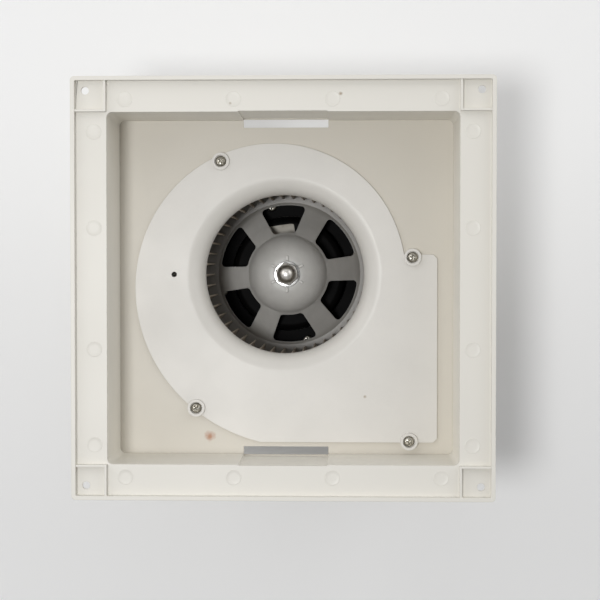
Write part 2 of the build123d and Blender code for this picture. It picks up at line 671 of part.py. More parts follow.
def motor_grommets():
    """Rubber sleeves between the motor's ears and the back wall."""
    sleeve = ring(GROMMET_R, MOUNT_SCREW_SIZE_R + SCREW_PLAY, MOTOR_SPLIT_Z + MOUNT_EAR_THICK, BACK_OUTER_Z)
    return group(on_axis(place * sleeve) for place in around(MOUNT_SCREW_R, MOUNT_COUNT, MOUNT_PHASE))


def motor_plate():
    """Black sheet ring over the motor's hole, under the mount screws."""
    top = BACK_INNER_Z + MOTOR_PLATE_THICK
    body = ring(MOTOR_PLATE_R, MOTOR_R + MOTOR_HOLE_PLAY, BACK_INNER_Z, top)
    for place in around(MOUNT_SCREW_R, MOUNT_COUNT, MOUNT_PHASE):
        body -= place * rod(MOUNT_SCREW_SIZE_R + SCREW_PLAY, BACK_INNER_Z - 1, top + 1)
    return on_axis(body)


def motor_mount_screws():
    """Four screws from inside the scroll through the back wall to the motor's ears."""
    seat = BACK_INNER_Z + MOTOR_PLATE_THICK
    length = seat - MOTOR_SPLIT_Z + MOUNT_NUT_H + 1
    screw = pan_screw(length, MOUNT_SCREW_SIZE_R, MOUNT_HEAD_R)
    spots = around(MOUNT_SCREW_R, MOUNT_COUNT, MOUNT_PHASE)
    return group(on_axis(place * Pos(0, 0, seat) * screw) for place in spots)


def motor_mount_nuts():
    """The nuts behind the motor's ears."""
    nut = hex_prism(MOUNT_NUT_FLATS, MOTOR_SPLIT_Z - MOUNT_NUT_H, MOTOR_SPLIT_Z)
    nut -= rod(MOUNT_SCREW_SIZE_R + THREAD_PLAY, 0, MOTOR_SPLIT_Z + 1)
    return group(on_axis(place * nut) for place in around(MOUNT_SCREW_R, MOUNT_COUNT, MOUNT_PHASE))


def motor_cover():
    """Sheet pan over the motor, with a screwed flange and cooling slots."""
    outer = rod(PAN_R, 0, BACK_OUTER_Z)
    outer = fillet(outer.edges().filter_by(GeomType.CIRCLE).sort_by(Axis.Z)[0], PAN_EDGE_R)
    inner = rod(PAN_R - PAN_SHEET, PAN_SHEET, BACK_OUTER_Z + 1)
    inner = fillet(inner.edges().filter_by(GeomType.CIRCLE).sort_by(Axis.Z)[0], PAN_EDGE_R - PAN_SHEET)
    body = outer + rod(PAN_FLANGE_R, BACK_OUTER_Z - PAN_SHEET, BACK_OUTER_Z) - inner
    slot = SlotOverall(PAN_VENT_LENGTH, PAN_VENT_WIDTH)
    vent = Pos(0, 0, -1) * extrude(slot, PAN_SHEET + 2)
    for place in around(PAN_VENT_MID_R, PAN_VENT_COUNT, 0):
        body -= place * vent
    for place in around(PAN_SCREW_R, MOUNT_COUNT, MOUNT_PHASE + 45):
        body -= place * rod(SCREW_R + SCREW_PLAY, 0, BACK_OUTER_Z + 1)
    return on_axis(body)


def motor_cover_screws():
    """Four screws through the pan's flange into the back wall."""
    screw = Rot(180, 0, 0) * pan_screw(SHORT_SCREW_LENGTH)
    seat = BACK_OUTER_Z - PAN_SHEET
    spots = around(PAN_SCREW_R, MOUNT_COUNT, MOUNT_PHASE + 45)
    return group(on_axis(place * Pos(0, 0, seat) * screw) for place in spots)


def box_limits():
    """Limits of the terminal box along X and Y."""
    x = (BOX_X - BOX_LENGTH / 2, BOX_X + BOX_LENGTH / 2)
    y = (BOX_Y - BOX_WIDTH / 2, BOX_Y + BOX_WIDTH / 2)
    return x, y


def box_screw_places():
    """Two screws that hold the terminal box on the back wall."""
    x, y = box_limits()
    inset = BOX_POST_INSET + 0.5
    return [(x[0] + inset, y[1] - inset), (x[1] - inset, y[1] - inset)]


def lid_screw_places():
    """Two screws that hold the lid, on posts in the box's other corners."""
    x, y = box_limits()
    return [(x[0] + BOX_POST_INSET, y[0] + BOX_POST_INSET), (x[1] - BOX_POST_INSET, y[0] + BOX_POST_INSET)]


def terminal_box():
    """Moulded box for the supply terminals, open downwards, with a cable hole."""
    x, y = box_limits()
    bottom = BOX_LID
    body = block(x, y, (bottom, BACK_OUTER_Z))
    t = BOX_WALL
    body -= block((x[0] + t, x[1] - t), (y[0] + t, y[1] - t), (bottom - 1, BACK_OUTER_Z - t))
    for px, py in lid_screw_places():
        body += Pos(px, py, 0) * rod(BOX_POST_R, bottom, BACK_OUTER_Z - t / 2)
        body -= Pos(px, py, 0) * rod(SCREW_R + THREAD_PLAY, bottom - 1, bottom + SHORT_SCREW_LENGTH)
    for px, py in box_screw_places():
        body -= Pos(px, py, 0) * rod(SCREW_R + SCREW_PLAY, BACK_OUTER_Z - t - 1, BACK_OUTER_Z + 1)
    body -= Pos(BOX_X, 0, ENTRY_Z) * rod_y(ENTRY_HOLE_R, y[0] - 1, y[0] + t + 1)
    return body


def terminal_box_screws():
    """Screws from inside the box into the back wall."""
    screw = Rot(180, 0, 0) * pan_screw(SHORT_SCREW_LENGTH)
    seat = BACK_OUTER_Z - BOX_WALL
    return group(Pos(px, py, seat) * screw for px, py in box_screw_places())


def terminal_box_lid():
    """Flat lid of the terminal box with sunk screw seats."""
    x, y = box_limits()
    body = block(x, y, (0, BOX_LID))
    for px, py in lid_screw_places():
        body -= Pos(px, py, 0) * rod(SCREW_R + SCREW_PLAY, -1, BOX_LID + 1)
        body -= Pos(px, py, 0) * rod(SCREW_HEAD_R + SCREW_PLAY, -1, BOX_LID - 0.8)
    return body


def lid_screws():
    """Low head screws sunk in the lid, clear of the rest plane."""
    head = rod(SCREW_HEAD_R, BOX_LID - 0.8 - 1.0, BOX_LID - 0.8)
    shank = rod(SCREW_R, BOX_LID - 0.8, BOX_LID + SHORT_SCREW_LENGTH - 1)
    return group(Pos(px, py, 0) * (head + shank) for px, py in lid_screw_places())


def terminal_block():
    """Three pole terminal block standing on the floor of the box."""
    top = BACK_OUTER_Z - BOX_WALL
    x = (BOX_X - BLOCK_LENGTH / 2, BOX_X + BLOCK_LENGTH / 2)
    middle_y = BOX_Y + 2
    body = block(x, (middle_y - BLOCK_WIDTH / 2, middle_y + BLOCK_WIDTH / 2), (top - BLOCK_HEIGHT, top))
    pitch = BLOCK_LENGTH / BLOCK_POLES
    for k in range(BLOCK_POLES):
        px = x[0] + pitch * (k + 0.5)
        body -= Pos(px, 0, top - BLOCK_HEIGHT / 2) * rod_y(2.2, middle_y - 12, middle_y + 12)
        body -= Pos(px, middle_y, 0) * rod(2.4, top - BLOCK_HEIGHT - 1, top - BLOCK_HEIGHT / 2)
    return body


def terminal_screws():
    """Clamp screws of the terminal block."""
    top = BACK_OUTER_Z - BOX_WALL
    pitch = BLOCK_LENGTH / BLOCK_POLES
    start = BOX_X - BLOCK_LENGTH / 2
    screw = rod(2.4 - THREAD_PLAY, top - BLOCK_HEIGHT + 1.5, top - BLOCK_HEIGHT / 2 - 2.3)
    return group(Pos(start + pitch * (k + 0.5), BOX_Y + 2, 0) * screw for k in range(BLOCK_POLES))


def cable_grommet():
    """Rubber grommet in the cable hole of the terminal box."""
    y = BOX_Y - BOX_WIDTH / 2
    body = rod_y(ENTRY_FLANGE_R, y - ENTRY_FLANGE, y)
    body += rod_y(ENTRY_HOLE_R, y - ENTRY_FLANGE, y + BOX_WALL)
    body += rod_y(ENTRY_HOLE_R + 1, y + BOX_WALL, y + BOX_WALL + 1.5)
    body -= rod_y(ENTRY_BORE_R, y - ENTRY_FLANGE - 1, y + BOX_WALL + 3)
    return Pos(BOX_X, 0, ENTRY_Z) * body


def run_capacitor():
    """Boxed run capacitor on the back wall."""
    x = (CAP_X - CAP_LENGTH / 2, CAP_X + CAP_LENGTH / 2)
    y = (CAP_Y - CAP_WIDTH / 2, CAP_Y + CAP_WIDTH / 2)
    body = block(x, y, (BACK_OUTER_Z - CAP_HEIGHT, BACK_OUTER_Z))
    return fillet(body.edges().filter_by(Axis.Z), CAP_CORNER_R)


def clip_screw_places():
    """Screws in the feet of the capacitor's clip."""
    reach = CAP_WIDTH / 2 + CLIP_SHEET + CLIP_FOOT / 2 + 0.4
    return [(CAP_X, CAP_Y - reach), (CAP_X, CAP_Y + reach)]


def capacitor_clip():
    """Sheet strap over the capacitor with a foot on each side."""
    x = (CAP_X - CLIP_WIDTH / 2, CAP_X + CLIP_WIDTH / 2)
    half = CAP_WIDTH / 2 + CLIP_SHEET
    low = BACK_OUTER_Z - CAP_HEIGHT - CLIP_SHEET
    body = block(x, (CAP_Y - half, CAP_Y + half), (low, BACK_OUTER_Z))
    body += block(x, (CAP_Y - half - CLIP_FOOT, CAP_Y + half + CLIP_FOOT), (BACK_OUTER_Z - CLIP_SHEET, BACK_OUTER_Z))
    inner = CAP_WIDTH / 2
    body -= block((x[0] - 1, x[1] + 1), (CAP_Y - inner, CAP_Y + inner), (low + CLIP_SHEET, BACK_OUTER_Z + 1))
    for px, py in clip_screw_places():
        body -= Pos(px, py, 0) * rod(SCREW_R + SCREW_PLAY, BACK_OUTER_Z - 5, BACK_OUTER_Z + 1)
    return body


def capacitor_clip_screws():
    """Screws through the clip's feet into the back wall."""
    screw = Rot(180, 0, 0) * pan_screw(SHORT_SCREW_LENGTH - 1)
    seat = BACK_OUTER_Z - CLIP_SHEET
    return group(Pos(px, py, seat) * screw for px, py in clip_screw_places())


def duct_collar():
    """Outlet adapter: a plate on the outlet flange that carries the round duct spigot."""
    y, z = outlet_outline(OUTLET_FLANGE)
    plate_end = OUTLET_END_X + ADAPTER_PLATE
    body = block((OUTLET_END_X, plate_end), y, z)
    middle = Pos(0, COLLAR_Y, COLLAR_Z)
    inner_r = COLLAR_R - COLLAR_WALL
    body += middle * rod_x(COLLAR_R, plate_end - 1, COLLAR_END_X)
    body += middle * rod_x(COLLAR_R + COLLAR_BEAD, COLLAR_BEAD_X, COLLAR_BEAD_X + 2)
    body -= middle * rod_x(inner_r, OUTLET_END_X - 1, COLLAR_END_X + 1)
    stop_end = FLAP_X - FLAP_THICK / 2 - STOP_GAP
    stop = rod_x(inner_r + 0.5, stop_end - STOP_THICK, stop_end) - rod_x(inner_r - STOP_WIDTH, 0, COLLAR_END_X)
    above = block((0, COLLAR_END_X), (-COLLAR_R, COLLAR_R), (PIN_BOSS_R * 2 - FLAP_HINGE_OFFSET, COLLAR_R))
    body += middle * (stop & above)
    for side in (-1, 1):
        chord = math.sqrt(inner_r ** 2 - FLAP_HINGE_OFFSET ** 2)
        start, end = sorted((side * (chord - PIN_BOSS_LENGTH), side * (chord + COLLAR_WALL)))
        lug = Pos(FLAP_X, 0, -FLAP_HINGE_OFFSET) * rod_y(PIN_BOSS_R, start, end)
        body += middle * (lug & rod_x(inner_r + 0.5, 0, COLLAR_END_X))
    pin_hole = Pos(FLAP_X, COLLAR_Y, HINGE_Z) * rod_y(PIN_R + PIN_PLAY, -COLLAR_R, COLLAR_R)
    body -= pin_hole
    for y0, z0 in outlet_screw_places():
        body -= Pos(0, y0, z0) * rod_x(SCREW_R + SCREW_PLAY, OUTLET_END_X - 1, plate_end + 1)
    return body


def collar_screws():
    """Screws that hold the adapter on the outlet flange."""
    screw = Rot(0, 90, 0) * pan_screw(OUTLET_FLANGE_THICK + ADAPTER_PLATE - 0.5)
    seat = OUTLET_END_X + ADAPTER_PLATE
    return group(Pos(seat, y0, z0) * screw for y0, z0 in outlet_screw_places())


def barrel_half():
    """Half length of the flap's barrel, between the two pin lugs."""
    inner_r = COLLAR_R - COLLAR_WALL
    chord = math.sqrt(inner_r ** 2 - FLAP_HINGE_OFFSET ** 2)
    return chord - PIN_BOSS_LENGTH - 0.5


def damper_flap():
    """Round back-draught flap with the barrel of its hinge."""
    disc = rod_x(FLAP_R, FLAP_X - FLAP_THICK / 2, FLAP_X + FLAP_THICK / 2)
    lug_gap = barrel_half()
    for side in (-1, 1):
        y = sorted((side * lug_gap, side * (FLAP_R + 1)))
        reach = PIN_BOSS_R + 0.6
        notch = block((0, 200), y, (-FLAP_HINGE_OFFSET - reach, -FLAP_HINGE_OFFSET + reach))
        disc -= notch
    barrel = Pos(FLAP_X, 0, -FLAP_HINGE_OFFSET) * rod_y(FLAP_BARREL_R, -lug_gap, lug_gap)
    body = Pos(0, COLLAR_Y, COLLAR_Z) * (disc + barrel)
    body -= Pos(FLAP_X, COLLAR_Y, HINGE_Z) * rod_y(PIN_R + PIN_PLAY, -COLLAR_R, COLLAR_R)
    return body


def damper_pin():
    """Steel pin of the flap's hinge, held in the collar's lugs."""
    inner_r = COLLAR_R - COLLAR_WALL
    half = math.sqrt(inner_r ** 2 - FLAP_HINGE_OFFSET ** 2) + COLLAR_WALL / 2
    return Pos(FLAP_X, COLLAR_Y, HINGE_Z) * rod_y(PIN_R, -half, half)


PIECES = {
    "tray_frame": tray_frame,
    "scroll_casing": scroll_casing,
    "scroll_cover": scroll_cover,
    "cover_screws": cover_screws,
    "impeller": impeller,
    "impeller_blades": impeller_blades,
    "impeller_ring": lambda: on_axis(wheel_ring()),
    "hub_bush": hub_bush,
    "hub_washer": hub_washer,
    "cap_nut": cap_nut,
    "motor_shaft": motor_shaft,
    "rotor_core": rotor_core,
    "front_bearing": lambda: bearing(MOTOR_FRONT_Z - MOTOR_SHELL),
    "rear_bearing": lambda: bearing(MOTOR_REAR_Z + MOTOR_SHELL),
    "motor_front_shell": motor_front_shell,
    "motor_rear_shell": motor_rear_shell,
    "motor_case_screws": motor_case_screws,
    "stator_core": stator_core,
    "stator_windings": stator_windings,
    "motor_grommets": motor_grommets,
    "motor_plate": motor_plate,
    "motor_mount_screws": motor_mount_screws,
    "motor_mount_nuts": motor_mount_nuts,
    "motor_cover": motor_cover,
    "motor_cover_screws": motor_cover_screws,
    "terminal_box": terminal_box,
    "terminal_box_screws": terminal_box_screws,
    "terminal_box_lid": terminal_box_lid,
    "lid_screws": lid_screws,
    "terminal_block": terminal_block,
    "terminal_screws": terminal_screws,
    "cable_grommet": cable_grommet,
    "run_capacitor": run_capacitor,
    "capacitor_clip": capacitor_clip,
    "capacitor_clip_screws": capacitor_clip_screws,
    "duct_collar": duct_collar,
    "collar_screws": collar_screws,
    "damper_flap": damper_flap,
    "damper_pin": damper_pin,
}

os.makedirs("parts", exist_ok=True)
for name, make in PIECES.items():
    export_step(make(), f"parts/{name}.step")
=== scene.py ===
"""Looks of a ceiling duct exhaust fan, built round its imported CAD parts."""

import math

import bmesh
import bpy
import numpy as np
from mathutils import Matrix, Vector


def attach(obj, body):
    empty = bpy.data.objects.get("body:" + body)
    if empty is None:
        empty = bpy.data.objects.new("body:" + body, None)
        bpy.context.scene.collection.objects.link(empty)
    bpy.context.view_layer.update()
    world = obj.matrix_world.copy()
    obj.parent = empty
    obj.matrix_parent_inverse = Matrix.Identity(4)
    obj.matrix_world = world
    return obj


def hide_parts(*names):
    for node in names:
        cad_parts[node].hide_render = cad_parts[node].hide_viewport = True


bl_info = {
    "name": "Duct exhaust fan",
    "version": (1, 0, 0),
    "blender": (4, 5, 0),
    "location": "View3D > Sidebar > Fan",
    "description": "Moulded, plated and painted finishes for a square ceiling exhaust fan",
    "category": "Object",
}

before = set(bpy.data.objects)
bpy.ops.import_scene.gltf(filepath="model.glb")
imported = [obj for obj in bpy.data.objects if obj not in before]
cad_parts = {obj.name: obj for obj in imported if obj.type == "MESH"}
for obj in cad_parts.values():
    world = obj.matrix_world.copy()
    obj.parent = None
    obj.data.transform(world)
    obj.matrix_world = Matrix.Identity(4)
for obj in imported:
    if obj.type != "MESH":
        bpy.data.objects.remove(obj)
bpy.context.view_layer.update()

MM = 0.001
AXIS = (-1.3, 9.7)
HOUSING, ROTOR, FLAP = "housing", "rotor", "flap"

COVER_SCREW_PLACES = ((-48.4, 93.7), (93.9, 22.4), (-66.9, -89.8), (91.5, -114.4))
BOX_SCREW_PLACES = ((54.5, -64.5), (97.5, -64.5))
LID_SCREW_PLACES = ((53.5, -98.5), (98.5, -98.5))
CLIP_SCREW_PLACES = ((-34.0, -97.4), (-34.0, -68.6))
COLLAR_SCREW_PLACES = ((-113.77, 42.0), (-113.77, 123.5), (23.0, 42.0), (23.0, 123.5))

FLANGE_Z = 193.0
PIN_LINE = 134
PIN_PLACES_X = (-112, -35, 35, 112)
PIN_PLACES_Y = (-111, -43, 43, 111)
NUT_FLATS, NUT_HEX_TOP, NUT_DOME_R, NUT_TOP = 16.0, 7.5, 7.4, 16.6
NUT_SEAT_Z, NUT_TURN = 87.6, math.radians(12)
WASHER_BORE_R, WASHER_R, WASHER_THICK, WASHER_ROUND, WASHER_SEAT_Z = 4.05, 10.0, 1.6, 0.28, 86.0
SHANK_R, HEAD_R, HEAD_H = 1.95, 3.9, 2.4
LABEL_LENGTH, LABEL_WIDTH, LABEL_THICK = 21.0, 9.0, 0.15
LABEL_R, LABEL_ANGLE, LABEL_TURN, LABEL_Z = 35, math.radians(100), math.radians(8), 47.95

BEVEL_SEGMENTS, BEVEL_ANGLE = 2, math.radians(32.0)
FLOOR_REACH, FLOOR_Z = 3000, -0.3
LAMP_TARGET = (0.0, 0.0, 0.15)
CAMERA_PLACE = (0.0467859, 0.0185548, 1.2385958)
CAMERA_TARGET = (0.0123920, -0.0078083, 0.198)


def srgb(red, green, blue):
    """The linear colour of a display colour given from 0 to 255."""
    channels = np.array((red, green, blue)) / 255
    linear = np.where(channels <= 0.04045, channels / 12.92, ((channels + 0.055) / 1.055) ** 2.4)
    return tuple(float(c) for c in linear)


def four(colour):
    """A colour with full alpha, as a colour socket holds it."""
    return (*tuple(colour)[:3], 1.0)


def shaded(colour, share):
    """A colour made lighter or darker by a share."""
    return tuple(c * share for c in colour)


# Surfaces


def new_mesh(name, points, faces):
    """A smooth shaded mesh from points in millimetres and faces as rows of point numbers."""
    mesh = bpy.data.meshes.new(name)
    mesh.from_pydata((np.asarray(points, float) * MM).tolist(), [], faces)
    mesh.validate()
    mesh.shade_smooth()
    return mesh


def grid_faces(rows, columns, first=0, close_rows=False):
    """Quads of a grid whose columns close on themselves, and its rows too if asked."""
    last = rows if close_rows else rows - 1
    row, column = np.meshgrid(np.arange(last), np.arange(columns), indexing="ij")
    above = (row + 1) % rows
    beside = (column + 1) % columns
    quads = np.stack((row * columns + column, row * columns + beside,
                      above * columns + beside, above * columns + column), axis=-1)
    return (quads.reshape(-1, 4) + first).tolist()


def end_faces(columns, pole):
    """Triangles that close a grid, from its first row to one pole and its last row to the next.

    The grid's points come first, so the first pole's number is also their count.
    """
    around = np.arange(columns)
    beside = (around + 1) % columns
    last = pole - columns
    low = np.stack((np.full(columns, pole), beside, around), axis=-1)
    high = np.stack((np.full(columns, pole + 1), around + last, beside + last), axis=-1)
    return low.tolist() + high.tolist()


def turned(profile, columns, radius_limit=None, dip=None):
    """Points and faces of a profile turned about Z, closed by a pole at each end.

    A point at angle a on profile row (r, z) lies at (r cos a, r sin a, z). Where a
    radius limit is given, r is the lesser of the profile's and the limit at that angle.
    Where a dip is given, its depth at the point's (x, y) is taken off z.
    """
    rows = np.array(profile[1:-1], float)
    angle = np.arange(columns) * 2 * math.pi / columns
    radius = np.repeat(rows[:, :1], columns, axis=1)
    if radius_limit is not None:
        radius = np.minimum(radius, radius_limit(angle)[None, :])
    x, y = radius * np.cos(angle), radius * np.sin(angle)
    z = np.repeat(rows[:, 1:2], columns, axis=1)
    start, end = profile[0][1], profile[-1][1]
    if dip is not None:
        z = z - dip(x, y, z)
        end = end - float(dip(np.zeros(1), np.zeros(1), np.full(1, end))[0])
    points = np.concatenate((np.stack((x, y, z), axis=-1).reshape(-1, 3),
                             [(0, 0, start), (0, 0, end)]))
    return points, grid_faces(len(rows), columns) + end_faces(columns, len(rows) * columns)


def turned_ring(profile, columns):
    """Points and faces of a closed profile turned about Z, which makes a ring with no poles."""
    rows = np.array(profile, float)
    angle = np.arange(columns) * 2 * math.pi / columns
    x = rows[:, :1] * np.cos(angle)
    y = rows[:, :1] * np.sin(angle)
    z = np.repeat(rows[:, 1:2], columns, axis=1)
    points = np.stack((x, y, z), axis=-1).reshape(-1, 3)
    return points, grid_faces(len(rows), columns, close_rows=True)


def gathered(shapes):
    """Several shapes as one: their points in one list, with the faces' numbers moved on."""
    points, faces, first = [], [], 0
    for shape_points, shape_faces in shapes:
        points.append(shape_points)
        faces += [[number + first for number in face] for face in shape_faces]
        first += len(shape_points)
    return np.concatenate(points), faces


def placed(shape, place, towards="up", turn=0.0):
    """A shape drawn along +Z, turned about its own axis, pointed up, down or along +X, and moved."""
    points, faces = shape
    c, s = math.cos(turn), math.sin(turn)
    spun = points @ np.array(((c, s, 0), (-s, c, 0), (0, 0, 1)))
    ways = {
        "up": np.eye(3),
        "down": np.diag((1.0, -1.0, -1.0)),
        "out": np.array(((0, 0, 1), (0, 1, 0), (-1, 0, 0)), float),
    }
    return spun @ ways[towards].T + np.asarray(place, float), faces


def screw_shape(shank_r, length, head_r, head_h):
    """A domed pan head screw with a cross recess.

    The head's height falls with the fourth power of the radius. The recess is two
    crossed bars with sloping sides, deepest in the middle.
    """
    reach = head_r * np.linspace(1, 0.02, 22)
    height = head_h * (1 - 0.62 * (reach / head_r) ** 4)
    profile = [(0, -length), (shank_r * 0.5, -length), (shank_r, -length + shank_r * 0.8),
               (shank_r, -0.2), (shank_r + 0.15, 0), (head_r - 0.15, 0), (head_r, 0.15)]
    profile += list(zip(reach, height)) + [(0, head_h)]
    half, arm = head_r * 0.125, head_r * 0.6

    def recess(x, y, z):
        across = np.minimum(np.abs(x), np.abs(y))
        radius = np.hypot(x, y)
        bar = np.clip((half - across) / (half * 0.6) + 0.6, 0, 1)
        end = np.clip((arm - radius) / (arm * 0.28), 0, 1)
        slope = 0.55 + 0.45 * np.clip(1 - radius / arm, 0, 1)
        return np.where(z > head_h * 0.5, head_h * 0.62 * bar * end * slope, 0)

    return turned(profile, 96, dip=recess)


def low_head_shape(shank_r, length, head_r, head_h):
    """A sunk disc head with a straight slot, on its shank."""
    reach = head_r * np.linspace(1, 0.02, 18)
    height = head_h * (1 - 0.25 * (reach / head_r) ** 6)
    profile = [(0, -length), (shank_r * 0.5, -length), (shank_r, -length + shank_r * 0.8),
               (shank_r, 0), (head_r - 0.1, 0), (head_r, 0.1)]
    profile += list(zip(reach, height)) + [(0, head_h)]

    def slot(x, y, z):
        bar = np.clip((0.5 - np.abs(y)) / 0.25 + 0.5, 0, 1)
        return np.where(z > head_h * 0.5, head_h * 0.45 * bar, 0)

    return turned(profile, 96, dip=slot)


def cap_nut_shape(flats, hex_top, dome_r, top):
    """A domed nut: a hexagon whose corners are cut by cones, and a hemisphere on a short neck.

    The hexagon's radius at angle a is half the flats over the cosine of a's distance
    from the nearest flat's middle.
    """
    def hexagon(angle):
        return flats / 2 / np.cos((angle + math.pi / 6) % (math.pi / 3) - math.pi / 6)

    corner = flats / math.sqrt(3)
    ball = top - dome_r
    swing = np.linspace(0, math.pi / 2, 18)[:-1]
    bore = [(0, 10.9), (3.9, 10.9), (4.05, 10.7), (4.05, 0.3), (4.4, 0.0)]
    sides = [(corner - 0.75, 0), (corner - 0.4, 0.2), (corner, 0.55), (corner, hex_top - 0.8),
             (corner - 0.5, hex_top - 0.42), (flats / 2 + 0.15, hex_top - 0.08), (flats / 2 - 0.1, hex_top)]
    neck = [(dome_r + 0.15, hex_top + 0.05), (dome_r, hex_top + 0.3), (dome_r, ball - 0.3)]
    dome = list(zip(dome_r * np.cos(swing), ball + dome_r * np.sin(swing)))
    return turned(bore + sides + neck + dome + [(0, top)], 120, radius_limit=hexagon)


def rounded_bar(inner_r, outer_r, low, high, round_r):
    """Cross section of a flat ring with round corners, as a closed loop that runs anticlockwise."""
    swing = np.radians(np.arange(0, 91, 22.5))
    loop = []
    for x, z, start in ((outer_r - round_r, low + round_r, -90), (outer_r - round_r, high - round_r, 0),
                        (inner_r + round_r, high - round_r, 90), (inner_r + round_r, low + round_r, 180)):
        angle = swing + math.radians(start)
        loop += list(zip(x + round_r * np.cos(angle), z + round_r * np.sin(angle)))
    return loop


def plate_shape(length, width, thick, power=8.0):
    """A thin plate whose outline is a superellipse: |x/a|^n + |y/b|^n = 1."""
    columns = 96
    angle = np.arange(columns) * 2 * math.pi / columns
    c, s = np.cos(angle), np.sin(angle)
    x = length / 2 * np.sign(c) * np.abs(c) ** (2 / power)
    y = width / 2 * np.sign(s) * np.abs(s) ** (2 / power)
    scale = np.array((0.5, 1.0, 1.0, 0.985, 0.5))[:, None]
    height = np.array((0, 0, thick * 0.7, thick, thick))[:, None] * np.ones(columns)
    points = np.stack((scale * x, scale * y, height), axis=-1).reshape(-1, 3)
    faces = grid_faces(len(scale), columns) + end_faces(columns, len(points))
    return np.concatenate((points, [(0, 0, 0), (0, 0, thick)])), faces


def circle_places(radius, phase, z):
    """Four places on a circle round the fan's axis, a quarter turn apart."""
    angle = np.radians(phase + 90 * np.arange(4))
    return np.stack((AXIS[0] + radius * np.cos(angle), AXIS[1] + radius * np.sin(angle),
                     np.full(4, float(z))), axis=-1)


# Pieces


def show(mesh, slot, body, material, *nodes):
    """Puts a mesh in the scene on its body, with its material, in place of the nodes named."""
    piece = bpy.data.objects.new(mesh.name, mesh)
    bpy.context.scene.collection.objects.link(piece)
    mesh.materials.append(material)
    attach(piece, body)
    if nodes:
        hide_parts(*nodes)
    return piece


def softened(node, name, slot, body, material, width):
    """A CAD node's own surface, merged, with every hard edge rounded by a narrow bevel."""
    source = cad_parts[node].data
    corners = np.empty(len(source.vertices) * 3, np.float32)
    source.vertices.foreach_get("co", corners)
    triangles = np.empty(len(source.loops), np.int32)
    source.loops.foreach_get("vertex_index", triangles)
    mesh = bpy.data.meshes.new(name)
    mesh.from_pydata(corners.reshape(-1, 3).tolist(), [], triangles.reshape(-1, 3).tolist())
    shape = bmesh.new()
    shape.from_mesh(mesh)
    bmesh.ops.remove_doubles(shape, verts=shape.verts, dist=2e-6)
    bmesh.ops.dissolve_limit(shape, angle_limit=math.radians(0.6), verts=shape.verts, edges=shape.edges)
    shape.to_mesh(mesh)
    shape.free()
    mesh.shade_smooth()
    piece = show(mesh, slot, body, material, node)
    bevel = piece.modifiers.new("edge_round", "BEVEL")
    bevel.width = width * MM
    bevel.segments = BEVEL_SEGMENTS
    bevel.limit_method = "ANGLE"
    bevel.angle_limit = BEVEL_ANGLE
    bevel.use_clamp_overlap = False
    even = piece.modifiers.new("even_shading", "WEIGHTED_NORMAL")
    even.weight = 50
    return piece


def dress(node, material):
    """Gives a CAD node that is shown as it is its finish."""
    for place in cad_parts[node].material_slots:
        place.link = "OBJECT"
        place.material = material


# Finishes


def put(tree, kind, inputs=None, **settings):
    """A node with its settings, and its sockets set or linked."""
    node = tree.nodes.new(kind)
    for key, value in settings.items():
        setattr(node, key, value)
    for key, value in (inputs or {}).items():
        if isinstance(value, bpy.types.NodeSocket):
            tree.links.new(value, node.inputs[key])
        else:
            node.inputs[key].default_value = value
    return node


def sum_of(tree, operation, first, second, third=0.0):
    """The output of a maths node."""
    return put(tree, "ShaderNodeMath", {0: first, 1: second, 2: third}, operation=operation).outputs[0]


def ramp_of(tree, value, low, high):
    """A value taken from low to high onto 0 to 1."""
    return put(tree, "ShaderNodeMapRange", {"Value": value, "From Min": low, "From Max": high}).outputs[0]


def blend_of(tree, factor, first, second):
    """The colour between two colours."""
    node = tree.nodes.new("ShaderNodeMix")
    node.data_type = "RGBA"
    for number, value in ((0, factor), (6, first), (7, second)):
        if isinstance(value, bpy.types.NodeSocket):
            tree.links.new(value, node.inputs[number])
        else:
            node.inputs[number].default_value = value
    return node.outputs[2]


def new_group(name, inputs, outputs):
    """A shader node group with named sockets, and its two end nodes."""
    group = bpy.data.node_groups.new(name, "ShaderNodeTree")
    for label, kind, default in inputs:
        socket = group.interface.new_socket(name=label, in_out="INPUT", socket_type=kind)
        socket.default_value = default
    for label, kind in outputs:
        group.interface.new_socket(name=label, in_out="OUTPUT", socket_type=kind)
    return group, group.nodes.new("NodeGroupInput"), group.nodes.new("NodeGroupOutput")


def group_named(name, build):
    """The node group of that name, built the first time it is asked for."""
    return bpy.data.node_groups.get(name) or build(name)


COLOUR, NUMBER, PLACE = "NodeSocketColor", "NodeSocketFloat", "NodeSocketVector"
SKIN_OUTPUTS = (("Colour", COLOUR), ("Roughness", NUMBER), ("Height", NUMBER))


def put_out(group, leave, **values):
    """Links values to a group's outputs of the same names."""
    for name, value in values.items():
        group.links.new(value, leave.inputs[name])


def rough_of(group, entry, value):
    """Roughness that swings about the group's own with a value between 0 and 1."""
    swing = sum_of(group, "SUBTRACT", value, 0.5)
    return sum_of(group, "MULTIPLY_ADD", swing, entry.outputs["Spread"], entry.outputs["Roughness"])


